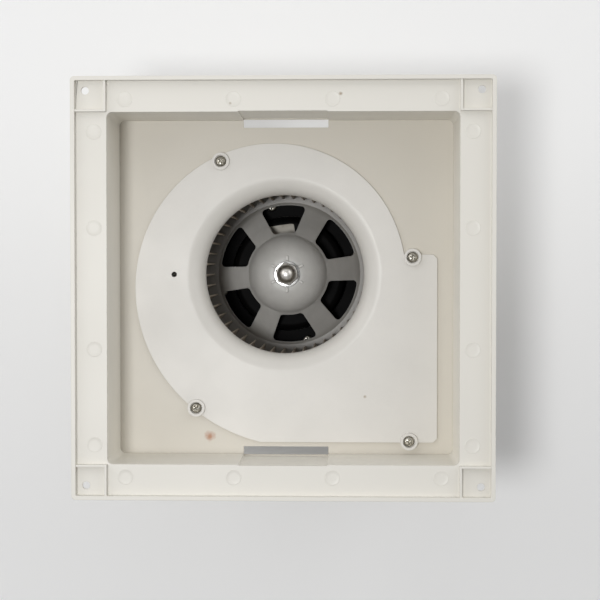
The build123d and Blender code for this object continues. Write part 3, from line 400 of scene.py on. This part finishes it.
def build_moulded_skin(name):
    """Moulded plastic: cloudy colour, faint flow lines and a fine spark grain."""
    group, entry, leave = new_group(
        name,
        (("Base", COLOUR, (0.8, 0.8, 0.8, 1)), ("Shade", COLOUR, (0.7, 0.7, 0.7, 1)),
         ("Cloud Scale", NUMBER, 16.0), ("Grain Scale", NUMBER, 1500.0),
         ("Roughness", NUMBER, 0.45), ("Spread", NUMBER, 0.12)),
        SKIN_OUTPUTS)
    place = put(group, "ShaderNodeTexCoord").outputs["Object"]
    cloud = put(group, "ShaderNodeTexNoise", {"Vector": place, "Scale": entry.outputs["Cloud Scale"],
                                              "Detail": 5.0, "Roughness": 0.55}).outputs["Fac"]
    flow_place = put(group, "ShaderNodeMapping", {"Vector": place, "Scale": (9.0, 9.0, 90.0)}).outputs[0]
    flow = put(group, "ShaderNodeTexNoise", {"Vector": flow_place, "Scale": 1.0, "Detail": 3.0,
                                             "Distortion": 0.6}).outputs["Fac"]
    grain = put(group, "ShaderNodeTexNoise", {"Vector": place, "Scale": entry.outputs["Grain Scale"],
                                              "Detail": 2.0}).outputs["Fac"]
    mixed = sum_of(group, "MULTIPLY_ADD", cloud, 0.7, sum_of(group, "MULTIPLY", flow, 0.3))
    mask = ramp_of(group, mixed, 0.36, 0.66)
    colour = blend_of(group, mask, entry.outputs["Base"], entry.outputs["Shade"])
    rough = rough_of(group, entry, mixed)
    height = sum_of(group, "MULTIPLY_ADD", grain, 0.5, sum_of(group, "MULTIPLY", flow, 0.6))
    put_out(group, leave, Colour=colour, Roughness=rough, Height=height)
    return group


def build_metal_skin(name):
    """Worked metal: streaks along one direction, with blotches under them."""
    group, entry, leave = new_group(
        name,
        (("Base", COLOUR, (0.6, 0.6, 0.6, 1)), ("Shade", COLOUR, (0.4, 0.4, 0.4, 1)),
         ("Stretch", PLACE, (400.0, 400.0, 40.0)), ("Blotch Scale", NUMBER, 120.0),
         ("Roughness", NUMBER, 0.3), ("Spread", NUMBER, 0.2)),
        SKIN_OUTPUTS)
    place = put(group, "ShaderNodeTexCoord").outputs["Object"]
    lines = put(group, "ShaderNodeVectorMath", {0: place, 1: entry.outputs["Stretch"]},
                operation="MULTIPLY").outputs[0]
    streak = put(group, "ShaderNodeTexNoise", {"Vector": lines, "Scale": 1.0, "Detail": 4.0}).outputs["Fac"]
    blotch = put(group, "ShaderNodeTexNoise", {"Vector": place, "Scale": entry.outputs["Blotch Scale"],
                                               "Detail": 4.0, "Roughness": 0.65}).outputs["Fac"]
    mixed = sum_of(group, "MULTIPLY_ADD", blotch, 0.6, sum_of(group, "MULTIPLY", streak, 0.4))
    colour = blend_of(group, ramp_of(group, mixed, 0.38, 0.62), entry.outputs["Base"],
                      entry.outputs["Shade"])
    rough = rough_of(group, entry, mixed)
    put_out(group, leave, Colour=colour, Roughness=rough, Height=streak)
    return group


def build_spangle(name):
    """Galvanised sheet: crystals of zinc that differ a little in tone."""
    group, entry, leave = new_group(
        name,
        (("Base", COLOUR, (0.6, 0.6, 0.6, 1)), ("Shade", COLOUR, (0.4, 0.4, 0.4, 1)),
         ("Crystal Scale", NUMBER, 130.0), ("Roughness", NUMBER, 0.34), ("Spread", NUMBER, 0.2)),
        SKIN_OUTPUTS)
    place = put(group, "ShaderNodeTexCoord").outputs["Object"]
    crystal = put(group, "ShaderNodeTexVoronoi", {"Vector": place, "Scale": entry.outputs["Crystal Scale"],
                                                  "Randomness": 1.0}).outputs["Color"]
    tone = put(group, "ShaderNodeSeparateColor", {"Color": crystal}).outputs[0]
    fine = put(group, "ShaderNodeTexNoise", {"Vector": place, "Scale": 900.0, "Detail": 3.0}).outputs["Fac"]
    colour = blend_of(group, tone, entry.outputs["Base"], entry.outputs["Shade"])
    rough = rough_of(group, entry, tone)
    height = sum_of(group, "MULTIPLY_ADD", fine, 0.4, sum_of(group, "MULTIPLY", tone, 0.3))
    put_out(group, leave, Colour=colour, Roughness=rough, Height=height)
    return group


def build_spot(name):
    """A soft edged mark round one place: 1 in its middle, 0 beyond its radius."""
    group, entry, leave = new_group(
        name,
        (("Place", PLACE, (0.0, 0.0, 0.0)), ("Radius", NUMBER, 0.005), ("Waver", NUMBER, 0.4)),
        (("Mask", NUMBER),))
    place = put(group, "ShaderNodeTexCoord").outputs["Object"]
    away = put(group, "ShaderNodeVectorMath", {0: place, 1: entry.outputs["Place"]},
               operation="DISTANCE").outputs["Value"]
    share = sum_of(group, "DIVIDE", away, entry.outputs["Radius"])
    noise = put(group, "ShaderNodeTexNoise", {"Vector": place, "Scale": 260.0, "Detail": 4.0}).outputs["Fac"]
    wavered = sum_of(group, "MULTIPLY_ADD", sum_of(group, "SUBTRACT", noise, 0.5),
                     sum_of(group, "MULTIPLY", entry.outputs["Waver"], 3.0), share)
    mask = put(group, "ShaderNodeMapRange", {"Value": wavered, "From Min": 1.0, "From Max": 0.2}).outputs[0]
    put_out(group, leave, Mask=mask)
    return group


def build_grime(name):
    """Thin dirt that settles in patches: a mask of broken noise."""
    group, entry, leave = new_group(
        name, (("Scale", NUMBER, 30.0), ("Amount", NUMBER, 0.3)), (("Mask", NUMBER),))
    place = put(group, "ShaderNodeTexCoord").outputs["Object"]
    wide = put(group, "ShaderNodeTexNoise", {"Vector": place, "Scale": entry.outputs["Scale"],
                                             "Detail": 6.0, "Roughness": 0.6}).outputs["Fac"]
    fine = put(group, "ShaderNodeTexNoise", {"Vector": place, "Scale": 420.0, "Detail": 3.0}).outputs["Fac"]
    patch = ramp_of(group, wide, 0.48, 0.72)
    speck = ramp_of(group, fine, 0.42, 0.75)
    mask = sum_of(group, "MULTIPLY", sum_of(group, "MULTIPLY", patch, speck), entry.outputs["Amount"])
    put_out(group, leave, Mask=mask)
    return group


def use_group(tree, group, inputs):
    """A node group placed in a material, with this material's values."""
    node = tree.nodes.new("ShaderNodeGroup")
    node.node_tree = group
    for key, value in inputs.items():
        node.inputs[key].default_value = value
    return node


def new_material(name, **sockets):
    """A material with a Principled shader whose constant sockets are set by name."""
    material = bpy.data.materials.new(name)
    material.use_nodes = True
    shader = material.node_tree.nodes["Principled BSDF"]
    for key, value in sockets.items():
        shader.inputs[key.replace("_", " ")].default_value = value
    return material, material.node_tree, shader


def wire(tree, shader, skin, colour, strength, depth):
    """Joins a skin group to the shader: colour, roughness and a bump of that depth."""
    bump = put(tree, "ShaderNodeBump", {"Height": skin.outputs["Height"], "Strength": strength,
                                        "Distance": depth})
    tree.links.new(colour, shader.inputs["Base Color"])
    tree.links.new(skin.outputs["Roughness"], shader.inputs["Roughness"])
    tree.links.new(bump.outputs["Normal"], shader.inputs["Normal"])


def plastic(name, base, shade, rough, grain=1500.0, cloud=16.0, dirt=0.25, dirt_colour=(0.25, 0.22, 0.18),
            dust_and_shade_films=(), marks=(), rim_dust_and_shade=False, **sockets):
    """A moulded plastic: skin group, thin dirt, films and marks.

    A film is (start z, full z, colour, strength): it grows from one height to the other and
    stays beyond it. Films paint light and shade by height, and dust with painted shade deep in
    the wheel. A mark is (x, y, z, radius, colour, strength). Lengths are in mm. With the
    rim flag, a brown film of dust and painted shade covers what lies far from the fan's axis.
    """
    material, tree, shader = new_material(name, **sockets)
    skin = use_group(tree, group_named("moulded_skin", build_moulded_skin),
                     {"Base": four(base), "Shade": four(shade), "Cloud Scale": cloud,
                      "Grain Scale": grain, "Roughness": rough})
    grime = use_group(tree, group_named("thin_dirt", build_grime), {"Amount": dirt})
    colour = blend_of(tree, grime.outputs["Mask"], skin.outputs["Colour"], four(dirt_colour))
    if dust_and_shade_films:
        place = put(tree, "ShaderNodeTexCoord").outputs["Object"]
        height = put(tree, "ShaderNodeSeparateXYZ", {"Vector": place}).outputs["Z"]
    # Each film blends towards its colour by height: painted light and shade on the tray, dust and painted
    # shade on the blades.
    for start, full, tint, strength in dust_and_shade_films:
        share = put(tree, "ShaderNodeMapRange", {"Value": height, "From Min": start * MM,
                                                 "From Max": full * MM, "To Max": strength}).outputs[0]
        colour = blend_of(tree, share, colour, four(tint))
    for x, y, z, radius, tint, strength in marks:
        spot = use_group(tree, group_named("soft_mark", build_spot),
                         {"Place": (x * MM, y * MM, z * MM), "Radius": radius * MM})
        weight = sum_of(tree, "MULTIPLY", spot.outputs["Mask"], strength)
        colour = blend_of(tree, weight, colour, four(tint))
    # Dust and painted shade: a brown film on what lies from 52.5 mm out from the axis, full at 60 mm, round
    # the wheel's windows.
    if rim_dust_and_shade:
        place = put(tree, "ShaderNodeTexCoord").outputs["Object"]
        level = put(tree, "ShaderNodeVectorMath", {0: place, 1: (1.0, 1.0, 0.0)},
                    operation="MULTIPLY").outputs[0]
        away = put(tree, "ShaderNodeVectorMath", {0: level, 1: (AXIS[0] * MM, AXIS[1] * MM, 0.0)},
                   operation="DISTANCE").outputs["Value"]
        film = put(tree, "ShaderNodeMapRange", {"Value": away, "From Min": 0.0525, "From Max": 0.060,
                                                "To Max": 0.6}).outputs[0]
        colour = blend_of(tree, film, colour, four(srgb(96, 88, 78)))
    wire(tree, shader, skin, colour, strength=0.35, depth=0.00008)
    return material


def metal(name, base, shade, rough, stretch=(400.0, 400.0, 40.0), spread=0.2, dirt=0.2, depth=0.00003):
    """A worked metal: streaked skin group with thin dirt over it."""
    material, tree, shader = new_material(name, Metallic=1.0)
    skin = use_group(tree, group_named("metal_skin", build_metal_skin),
                     {"Base": four(base), "Shade": four(shade), "Stretch": stretch,
                      "Roughness": rough, "Spread": spread})
    grime = use_group(tree, group_named("thin_dirt", build_grime), {"Scale": 90.0, "Amount": dirt})
    colour = blend_of(tree, grime.outputs["Mask"], skin.outputs["Colour"], (0.12, 0.1, 0.08, 1))
    wire(tree, shader, skin, colour, strength=0.3, depth=depth)
    return material


def galvanised():
    """Zinc coated sheet with its crystals."""
    material, tree, shader = new_material("galvanised_sheet", Metallic=0.9)
    skin = use_group(tree, group_named("spangle", build_spangle),
                     {"Base": four(srgb(186, 190, 193)), "Shade": four(srgb(160, 165, 169))})
    grime = use_group(tree, group_named("thin_dirt", build_grime), {"Scale": 50.0, "Amount": 0.35})
    colour = blend_of(tree, grime.outputs["Mask"], skin.outputs["Colour"], (0.2, 0.19, 0.17, 1))
    wire(tree, shader, skin, colour, strength=0.25, depth=0.00004)
    return material


MATERIALS = {}


def make_materials(colours):
    """Every finish of the fan, by the maker's name for it."""
    tray, cover, wheel = colours.tray, colours.cover, colours.wheel
    darker = shaded(tray, 0.95)
    # Painted light: the tray's walls get this colour, lighter than the tray's own.
    painted_wall_light = tuple(min(c * 1.16, 0.9) for c in tray)
    # Painted shade: the tray's floor gets this darker, warmer copy of the tray's colour.
    painted_floor_shade = tuple(c * share for c, share in zip(tray, (0.78, 0.75, 0.70)))
    warm = (0.30, 0.22, 0.13)
    MATERIALS.update(
        # The flange band keeps the tray's own colour, the walls are painted lighter and the floor below z
        # 139 mm is painted darker.
        tray=plastic("tray_plastic", painted_wall_light, shaded(painted_wall_light, 0.95), 0.42, dirt=0.05,
                     dust_and_shade_films=((191.8, 192.3, tray, 0.85), (139.0, 138.4, painted_floor_shade, 0.85)),
                     marks=((-57, -111, 138, 4.6, srgb(170, 118, 82), 0.95),
                            (41, 137.5, FLANGE_Z, 1.6, warm, 0.8), (-37, 131, FLANGE_Z, 1.3, warm, 0.7))),
        casing=plastic("casing_plastic", shaded(tray, 0.97), shaded(tray, 0.9), 0.5,
                       dirt=0.12),
        cover=plastic("cover_plastic", cover, shaded(cover, 0.94), 0.4, cloud=22.0, dirt=0.03,
                      marks=((58.7, -81, 140, 1.5, warm, 0.8),)),
        # The rim flag browns the ring round the windows: dust and painted shade.
        wheel=plastic("wheel_plastic", wheel, shaded(wheel, 0.84), 0.36, cloud=45.0, dirt=0.12,
                      rim_dust_and_shade=True, Subsurface_Weight=0.5, Subsurface_Scale=0.008,
                      Subsurface_Radius=(1.0, 1.0, 1.0)),
        # Below z 116.5 mm the blades turn brown: dust and painted shade deep in the wheel.
        blades=plastic("blade_plastic", wheel, shaded(wheel, 0.85), 0.5, cloud=45.0, dirt=0.0,
                       dust_and_shade_films=((120.0, 116.5, srgb(180, 167, 150), 0.9),)),
        flap=plastic("flap_plastic", shaded(tray, 0.96), darker, 0.46, dirt=0.08),
        box=plastic("box_plastic", shaded(tray, 0.98), darker, 0.44, cloud=30.0, dirt=0.08),
        phenolic=plastic("terminal_moulding", srgb(98, 96, 90), srgb(80, 78, 72), 0.5, cloud=80.0),
        capacitor=plastic("capacitor_case", srgb(48, 48, 51), srgb(36, 36, 39), 0.42, cloud=60.0),
        rubber=plastic("black_rubber", srgb(38, 37, 36), srgb(28, 27, 26), 0.7, cloud=70.0,
                       dirt_colour=(0.12, 0.11, 0.1)),
        enamel=plastic("motor_enamel", srgb(13, 12, 12), srgb(9, 9, 9), 0.5, cloud=60.0, grain=700.0,
                       dirt=0.2, dirt_colour=(0.02, 0.018, 0.015), Specular_IOR_Level=0.04),
        wire=plastic("winding_enamel", srgb(196, 142, 96), srgb(160, 106, 64), 0.35, cloud=200.0),
        label=plastic("label_paper", srgb(214, 210, 200), srgb(196, 190, 178), 0.6, cloud=90.0, dirt=0.5),
        screw=metal("zinc_screw", srgb(206, 203, 194), srgb(168, 163, 150), 0.3, dirt=0.35),
        steel=metal("ground_steel", srgb(206, 206, 204), srgb(176, 176, 174), 0.24,
                    stretch=(60.0, 60.0, 900.0)),
        chrome=metal("nut_plating", srgb(250, 247, 242), srgb(232, 229, 223), 0.36, spread=0.06,
                     dirt=0.06, depth=0.00001),
        brass=metal("bush_brass", srgb(208, 176, 110), srgb(180, 146, 84), 0.3),
        core=metal("core_sheet", srgb(120, 120, 122), srgb(84, 84, 88), 0.45,
                   stretch=(20.0, 20.0, 2600.0), depth=0.0001),
        zinc=galvanised(),
    )


# Sizes and colours that a user would change


class FanSizes(bpy.types.PropertyGroup):
    """Sizes of the finishing touches, in millimetres."""

    mould_round: bpy.props.FloatProperty(
        name="Moulded edges", description="Radius on the edges of the large mouldings, in mm",
        default=0.25, min=0.1, max=1.0)
    wheel_round: bpy.props.FloatProperty(
        name="Wheel edges", description="Radius on the edges of the impeller, in mm",
        default=0.3, min=0.1, max=0.6)
    sheet_round: bpy.props.FloatProperty(
        name="Sheet edges", description="Radius on the edges of sheet metal pieces, in mm",
        default=0.25, min=0.05, max=0.5)
    pin_mark: bpy.props.FloatProperty(
        name="Pin marks", description="Diameter of the ejector pin marks on the flange, in mm",
        default=11.0, min=4.0, max=16.0)


class FanColours(bpy.types.PropertyGroup):
    """Colours of the plastics and of the floor."""

    tray: bpy.props.FloatVectorProperty(
        name="Tray", description="Colour of the tray, casing and collar", subtype="COLOR",
        default=srgb(224, 221, 213), min=0.0, max=1.0)
    cover: bpy.props.FloatVectorProperty(
        name="Cover", description="Colour of the scroll cover", subtype="COLOR",
        default=srgb(219, 216, 210), min=0.0, max=1.0)
    wheel: bpy.props.FloatVectorProperty(
        name="Impeller", description="Colour of the impeller", subtype="COLOR",
        default=srgb(208, 206, 201), min=0.0, max=1.0)
    floor: bpy.props.FloatVectorProperty(
        name="Floor", description="Colour of the floor under the fan", subtype="COLOR",
        default=srgb(246, 246, 246), min=0.0, max=1.0)


class FanStage(bpy.types.PropertyGroup):
    """Light and camera."""

    lens: bpy.props.FloatProperty(
        name="Lens", description="Focal length on a sensor 36 mm wide", default=88.8, min=20.0, max=200.0,
        subtype="DISTANCE_CAMERA")
    top_power: bpy.props.FloatProperty(
        name="Overhead", description="Power of the lamp over the fan", default=15.0, min=0.0, max=200.0,
        unit="POWER")
    side_power: bpy.props.FloatProperty(
        name="Sides", description="Power of each low lamp beside the fan", default=4.7, min=0.0, max=200.0,
        unit="POWER")
    back_power: bpy.props.FloatProperty(
        name="Back", description="Power of the low lamp behind the fan", default=2.2, min=0.0, max=200.0,
        unit="POWER")
    fill: bpy.props.FloatProperty(
        name="Fill", description="Strength of the even light from all sides", default=0.25, min=0.0, max=1.0)


# Operators


class FAN_OT_materials(bpy.types.Operator):
    """Make the plastics, metals and paints"""

    bl_idname = "fan.materials"
    bl_label = "Finishes"

    def execute(self, context):
        make_materials(context.scene.fan_colours)
        return {"FINISHED"}


class FAN_OT_tray(bpy.types.Operator):
    """Square tray with its flange and the round marks of the mould's ejector pins"""

    bl_idname = "fan.tray"
    bl_label = "Tray"

    def execute(self, context):
        sizes = context.scene.fan_sizes
        softened("tray_frame", "tray_moulding", "white_plastic", HOUSING, MATERIALS["tray"],
                 sizes.mould_round)
        r = sizes.pin_mark / 2
        mark = turned([(0, -0.3), (r, -0.3), (r, 0.02), (r - 0.12, 0.13), (r - 0.4, 0.16), (r - 0.7, 0.06),
                       (r * 0.5, 0.03), (0, 0.03)], 40)
        places = [(x, y) for x in PIN_PLACES_X for y in (-PIN_LINE, PIN_LINE)]
        places += [(x, y) for x in (-PIN_LINE, PIN_LINE) for y in PIN_PLACES_Y]
        marks = gathered([placed(mark, (x, y, FLANGE_Z)) for x, y in places])
        show(new_mesh("tray_pin_marks", *marks), "white_plastic", HOUSING, MATERIALS["tray"])
        return {"FINISHED"}


class FAN_OT_scroll(bpy.types.Operator):
    """Scroll casing and its cover with the bell mouth"""

    bl_idname = "fan.scroll"
    bl_label = "Scroll"

    def execute(self, context):
        sizes = context.scene.fan_sizes
        softened("scroll_casing", "casing_moulding", "white_plastic", HOUSING, MATERIALS["casing"],
                 sizes.mould_round)
        softened("scroll_cover", "cover_moulding", "white_plastic", HOUSING, MATERIALS["cover"],
                 sizes.mould_round)
        return {"FINISHED"}


class FAN_OT_wheel(bpy.types.Operator):
    """Squirrel cage impeller: dished plate, blades and ring"""

    bl_idname = "fan.wheel"
    bl_label = "Impeller"

    def execute(self, context):
        width = context.scene.fan_sizes.wheel_round
        for node, name, finish in (("impeller", "wheel_dish", "wheel"),
                                   ("impeller_blades", "wheel_blades", "blades"),
                                   ("impeller_ring", "wheel_ring", "blades")):
            softened(node, name, "grey_plastic", ROTOR, MATERIALS[finish], width)
        dress("hub_bush", MATERIALS["brass"])
        return {"FINISHED"}


class FAN_OT_hub(bpy.types.Operator):
    """Domed nut and washer on the shaft's end"""

    bl_idname = "fan.hub"
    bl_label = "Hub nut"

    def execute(self, context):
        nut = placed(cap_nut_shape(NUT_FLATS, NUT_HEX_TOP, NUT_DOME_R, NUT_TOP), (*AXIS, NUT_SEAT_Z),
                     turn=NUT_TURN)
        show(new_mesh("hub_nut", *nut), "bright_chrome", ROTOR, MATERIALS["chrome"], "cap_nut")
        section = rounded_bar(WASHER_BORE_R, WASHER_R, 0, WASHER_THICK, WASHER_ROUND)
        washer = placed(turned_ring(section, 96), (*AXIS, WASHER_SEAT_Z))
        show(new_mesh("nut_washer", *washer), "bright_steel", ROTOR, MATERIALS["steel"], "hub_washer")
        dress("motor_shaft", MATERIALS["steel"])
        return {"FINISHED"}


class FAN_OT_screws(bpy.types.Operator):
    """Every screw, with its recess"""

    bl_idname = "fan.screws"
    bl_label = "Screws"

    def execute(self, context):
        tapping = screw_shape(SHANK_R, 8.0, HEAD_R, HEAD_H)
        groups = (
            ("cover_screws", "cover_screw_set", screw_shape(SHANK_R, 20.0, HEAD_R, HEAD_H), "up",
             [(x, y, 139.8) for x, y in COVER_SCREW_PLACES]),
            ("motor_mount_screws", "mount_screw_set", screw_shape(2.0, 17.7, 4.0, 2.4), "up",
             circle_places(56.0, 15, 33.5)),
            ("motor_case_screws", "case_screw_set", screw_shape(1.5, 3.0, 2.3, 1.8), "down",
             circle_places(47.4, 60, 18.5)),
            ("motor_cover_screws", "pan_screw_set", tapping, "down", circle_places(71.5, 60, 28.8)),
            ("terminal_box_screws", "box_screw_set", tapping, "down",
             [(x, y, 28.0) for x, y in BOX_SCREW_PLACES]),
            ("capacitor_clip_screws", "clip_screw_set", screw_shape(SHANK_R, 7.0, HEAD_R, HEAD_H), "down",
             [(x, y, 29.0) for x, y in CLIP_SCREW_PLACES]),
            ("lid_screws", "lid_screw_set", low_head_shape(SHANK_R, 7.8, HEAD_R, 1.0), "down",
             [(x, y, 1.2) for x, y in LID_SCREW_PLACES]),
            ("collar_screws", "collar_screw_set", screw_shape(SHANK_R, 5.5, HEAD_R, HEAD_H), "out",
             [(115.8, y, z) for y, z in COLLAR_SCREW_PLACES]),
        )
        for node, name, shape, towards, places in groups:
            copies = [placed(shape, place, towards, 0.6 + 2.4 * number)
                      for number, place in enumerate(places)]
            show(new_mesh(name, *gathered(copies)), "screw_steel", HOUSING, MATERIALS["screw"], node)
        dress("motor_mount_nuts", MATERIALS["screw"])
        return {"FINISHED"}


class FAN_OT_motor(bpy.types.Operator):
    """Motor shells, their bare label, the sheet pan and what is inside"""

    bl_idname = "fan.motor"
    bl_label = "Motor"

    def execute(self, context):
        width = context.scene.fan_sizes.sheet_round
        softened("motor_front_shell", "motor_front", "black_paint", HOUSING, MATERIALS["enamel"], width)
        softened("motor_rear_shell", "motor_rear", "black_paint", HOUSING, MATERIALS["enamel"], width)
        softened("motor_plate", "motor_plate_sheet", "black_paint", HOUSING, MATERIALS["enamel"], width)
        softened("motor_cover", "motor_pan", "zinc_sheet", HOUSING, MATERIALS["zinc"], width)
        place = (AXIS[0] + LABEL_R * math.cos(LABEL_ANGLE), AXIS[1] + LABEL_R * math.sin(LABEL_ANGLE),
                 LABEL_Z)
        label = placed(plate_shape(LABEL_LENGTH, LABEL_WIDTH, LABEL_THICK), place, turn=LABEL_TURN)
        show(new_mesh("motor_label", *label), "black_paint", HOUSING, MATERIALS["label"])
        for node, finish in (("rotor_core", "core"), ("stator_core", "core"), ("stator_windings", "wire"),
                             ("front_bearing", "steel"), ("rear_bearing", "steel"),
                             ("motor_grommets", "rubber")):
            dress(node, MATERIALS[finish])
        return {"FINISHED"}


class FAN_OT_terminals(bpy.types.Operator):
    """Terminal box with its lid, block and cable grommet"""

    bl_idname = "fan.terminals"
    bl_label = "Terminal box"

    def execute(self, context):
        sizes = context.scene.fan_sizes
        softened("terminal_box", "box_moulding", "white_plastic", HOUSING, MATERIALS["box"],
                 sizes.mould_round)
        softened("terminal_box_lid", "box_lid_moulding", "white_plastic", HOUSING, MATERIALS["box"],
                 sizes.sheet_round)
        softened("cable_grommet", "cable_grommet_rubber", "black_rubber", HOUSING, MATERIALS["rubber"],
                 sizes.mould_round)
        softened("terminal_block", "terminal_block_moulding", "terminal_plastic", HOUSING,
                 MATERIALS["phenolic"], sizes.sheet_round)
        dress("terminal_screws", MATERIALS["screw"])
        return {"FINISHED"}


class FAN_OT_capacitor(bpy.types.Operator):
    """Run capacitor and its clip"""

    bl_idname = "fan.capacitor"
    bl_label = "Capacitor"

    def execute(self, context):
        sizes = context.scene.fan_sizes
        softened("run_capacitor", "capacitor_body", "capacitor_plastic", HOUSING, MATERIALS["capacitor"],
                 sizes.mould_round)
        softened("capacitor_clip", "capacitor_strap", "zinc_sheet", HOUSING, MATERIALS["zinc"],
                 sizes.sheet_round)
        return {"FINISHED"}


class FAN_OT_outlet(bpy.types.Operator):
    """Duct collar with its back-draught flap and pin"""

    bl_idname = "fan.outlet"
    bl_label = "Outlet"

    def execute(self, context):
        sizes = context.scene.fan_sizes
        softened("duct_collar", "collar_moulding", "white_plastic", HOUSING, MATERIALS["casing"],
                 sizes.mould_round)
        softened("damper_flap", "flap_moulding", "white_plastic", FLAP, MATERIALS["flap"],
                 sizes.sheet_round)
        dress("damper_pin", MATERIALS["steel"])
        return {"FINISHED"}


class FAN_OT_stage(bpy.types.Operator):
    """Floor, lamps and camera"""

    bl_idname = "fan.stage"
    bl_label = "Stage"

    def execute(self, context):
        scene = context.scene
        settings = scene.fan_stage
        corners = [(x * FLOOR_REACH, y * FLOOR_REACH, FLOOR_Z)
                   for x, y in ((-1, -1), (1, -1), (1, 1), (-1, 1))]
        floor_mesh = new_mesh("floor", corners, [[0, 1, 2, 3]])
        material, tree, shader = new_material("floor_paint", Roughness=0.9)
        shader.inputs["Base Color"].default_value = four(scene.fan_colours.floor)
        floor_mesh.materials.append(material)
        floor = bpy.data.objects.new("floor", floor_mesh)
        scene.collection.objects.link(floor)

        world = bpy.data.worlds.new("studio")
        scene.world = world
        world.use_nodes = True
        background = world.node_tree.nodes["Background"]
        background.inputs["Color"].default_value = (1.0, 1.0, 1.0, 1.0)
        background.inputs["Strength"].default_value = settings.fill

        for name, size, power, place in (("overhead", 0.4, settings.top_power, (-0.35, -0.10, 2.1)),
                                         ("left", 1.2, settings.side_power, (-1.0, 0.5, 0.75)),
                                         ("right", 1.2, settings.side_power, (1.0, 0.5, 0.75)),
                                         ("back", 1.2, settings.back_power, (-0.1, 1.2, 0.95))):
            lamp = bpy.data.lights.new(name, "AREA")
            lamp.shape = "DISK"
            lamp.size = size
            lamp.energy = power
            light = bpy.data.objects.new(name, lamp)
            light.location = place
            aim = Vector(LAMP_TARGET) - light.location
            light.rotation_euler = aim.to_track_quat("-Z", "Y").to_euler()
            scene.collection.objects.link(light)

        lens = bpy.data.cameras.new("camera")
        lens.sensor_width = 36.0
        lens.lens = settings.lens
        lens.clip_start = 0.05
        camera = bpy.data.objects.new("camera", lens)
        place = Vector(CAMERA_PLACE)
        back = (place - Vector(CAMERA_TARGET)).normalized()
        side = Vector((0, 1, 0)).cross(back).normalized()
        camera.matrix_world = Matrix.Translation(place) @ Matrix(
            (side, back.cross(side), back)).transposed().to_4x4()
        scene.collection.objects.link(camera)
        scene.camera = camera
        scene.view_settings.view_transform = "Standard"
        return {"FINISHED"}


class FAN_PT_panel(bpy.types.Panel):
    """Lists the fan's pieces, sizes and colours"""

    bl_idname = "FAN_PT_panel"
    bl_label = "Duct exhaust fan"
    bl_space_type = "VIEW_3D"
    bl_region_type = "UI"
    bl_category = "Fan"

    def draw(self, context):
        scene = context.scene
        for settings in (scene.fan_sizes, scene.fan_colours, scene.fan_stage):
            column = self.layout.column()
            for name in settings.__annotations__:
                column.prop(settings, name)
        for operator in OPERATORS:
            self.layout.operator(operator.bl_idname)


OPERATORS = (FAN_OT_materials, FAN_OT_tray, FAN_OT_scroll, FAN_OT_wheel, FAN_OT_hub, FAN_OT_screws,
             FAN_OT_motor, FAN_OT_terminals, FAN_OT_capacitor, FAN_OT_outlet, FAN_OT_stage)
CLASSES = (FanSizes, FanColours, FanStage, *OPERATORS, FAN_PT_panel)


def register():
    """Registers the classes and hangs the settings on the scene."""
    for kind in CLASSES:
        bpy.utils.register_class(kind)
    bpy.types.Scene.fan_sizes = bpy.props.PointerProperty(type=FanSizes)
    bpy.types.Scene.fan_colours = bpy.props.PointerProperty(type=FanColours)
    bpy.types.Scene.fan_stage = bpy.props.PointerProperty(type=FanStage)


def unregister():
    """Takes the settings off the scene and unregisters the classes."""
    del bpy.types.Scene.fan_stage
    del bpy.types.Scene.fan_colours
    del bpy.types.Scene.fan_sizes
    for kind in reversed(CLASSES):
        bpy.utils.unregister_class(kind)


def main():
    """Builds the finishes, the pieces and the stage."""
    register()
    bpy.ops.fan.materials()
    bpy.ops.fan.tray()
    bpy.ops.fan.scroll()
    bpy.ops.fan.wheel()
    bpy.ops.fan.hub()
    bpy.ops.fan.screws()
    bpy.ops.fan.motor()
    bpy.ops.fan.terminals()
    bpy.ops.fan.capacitor()
    bpy.ops.fan.outlet()
    bpy.ops.fan.stage()


if __name__ == "__main__":
    main()
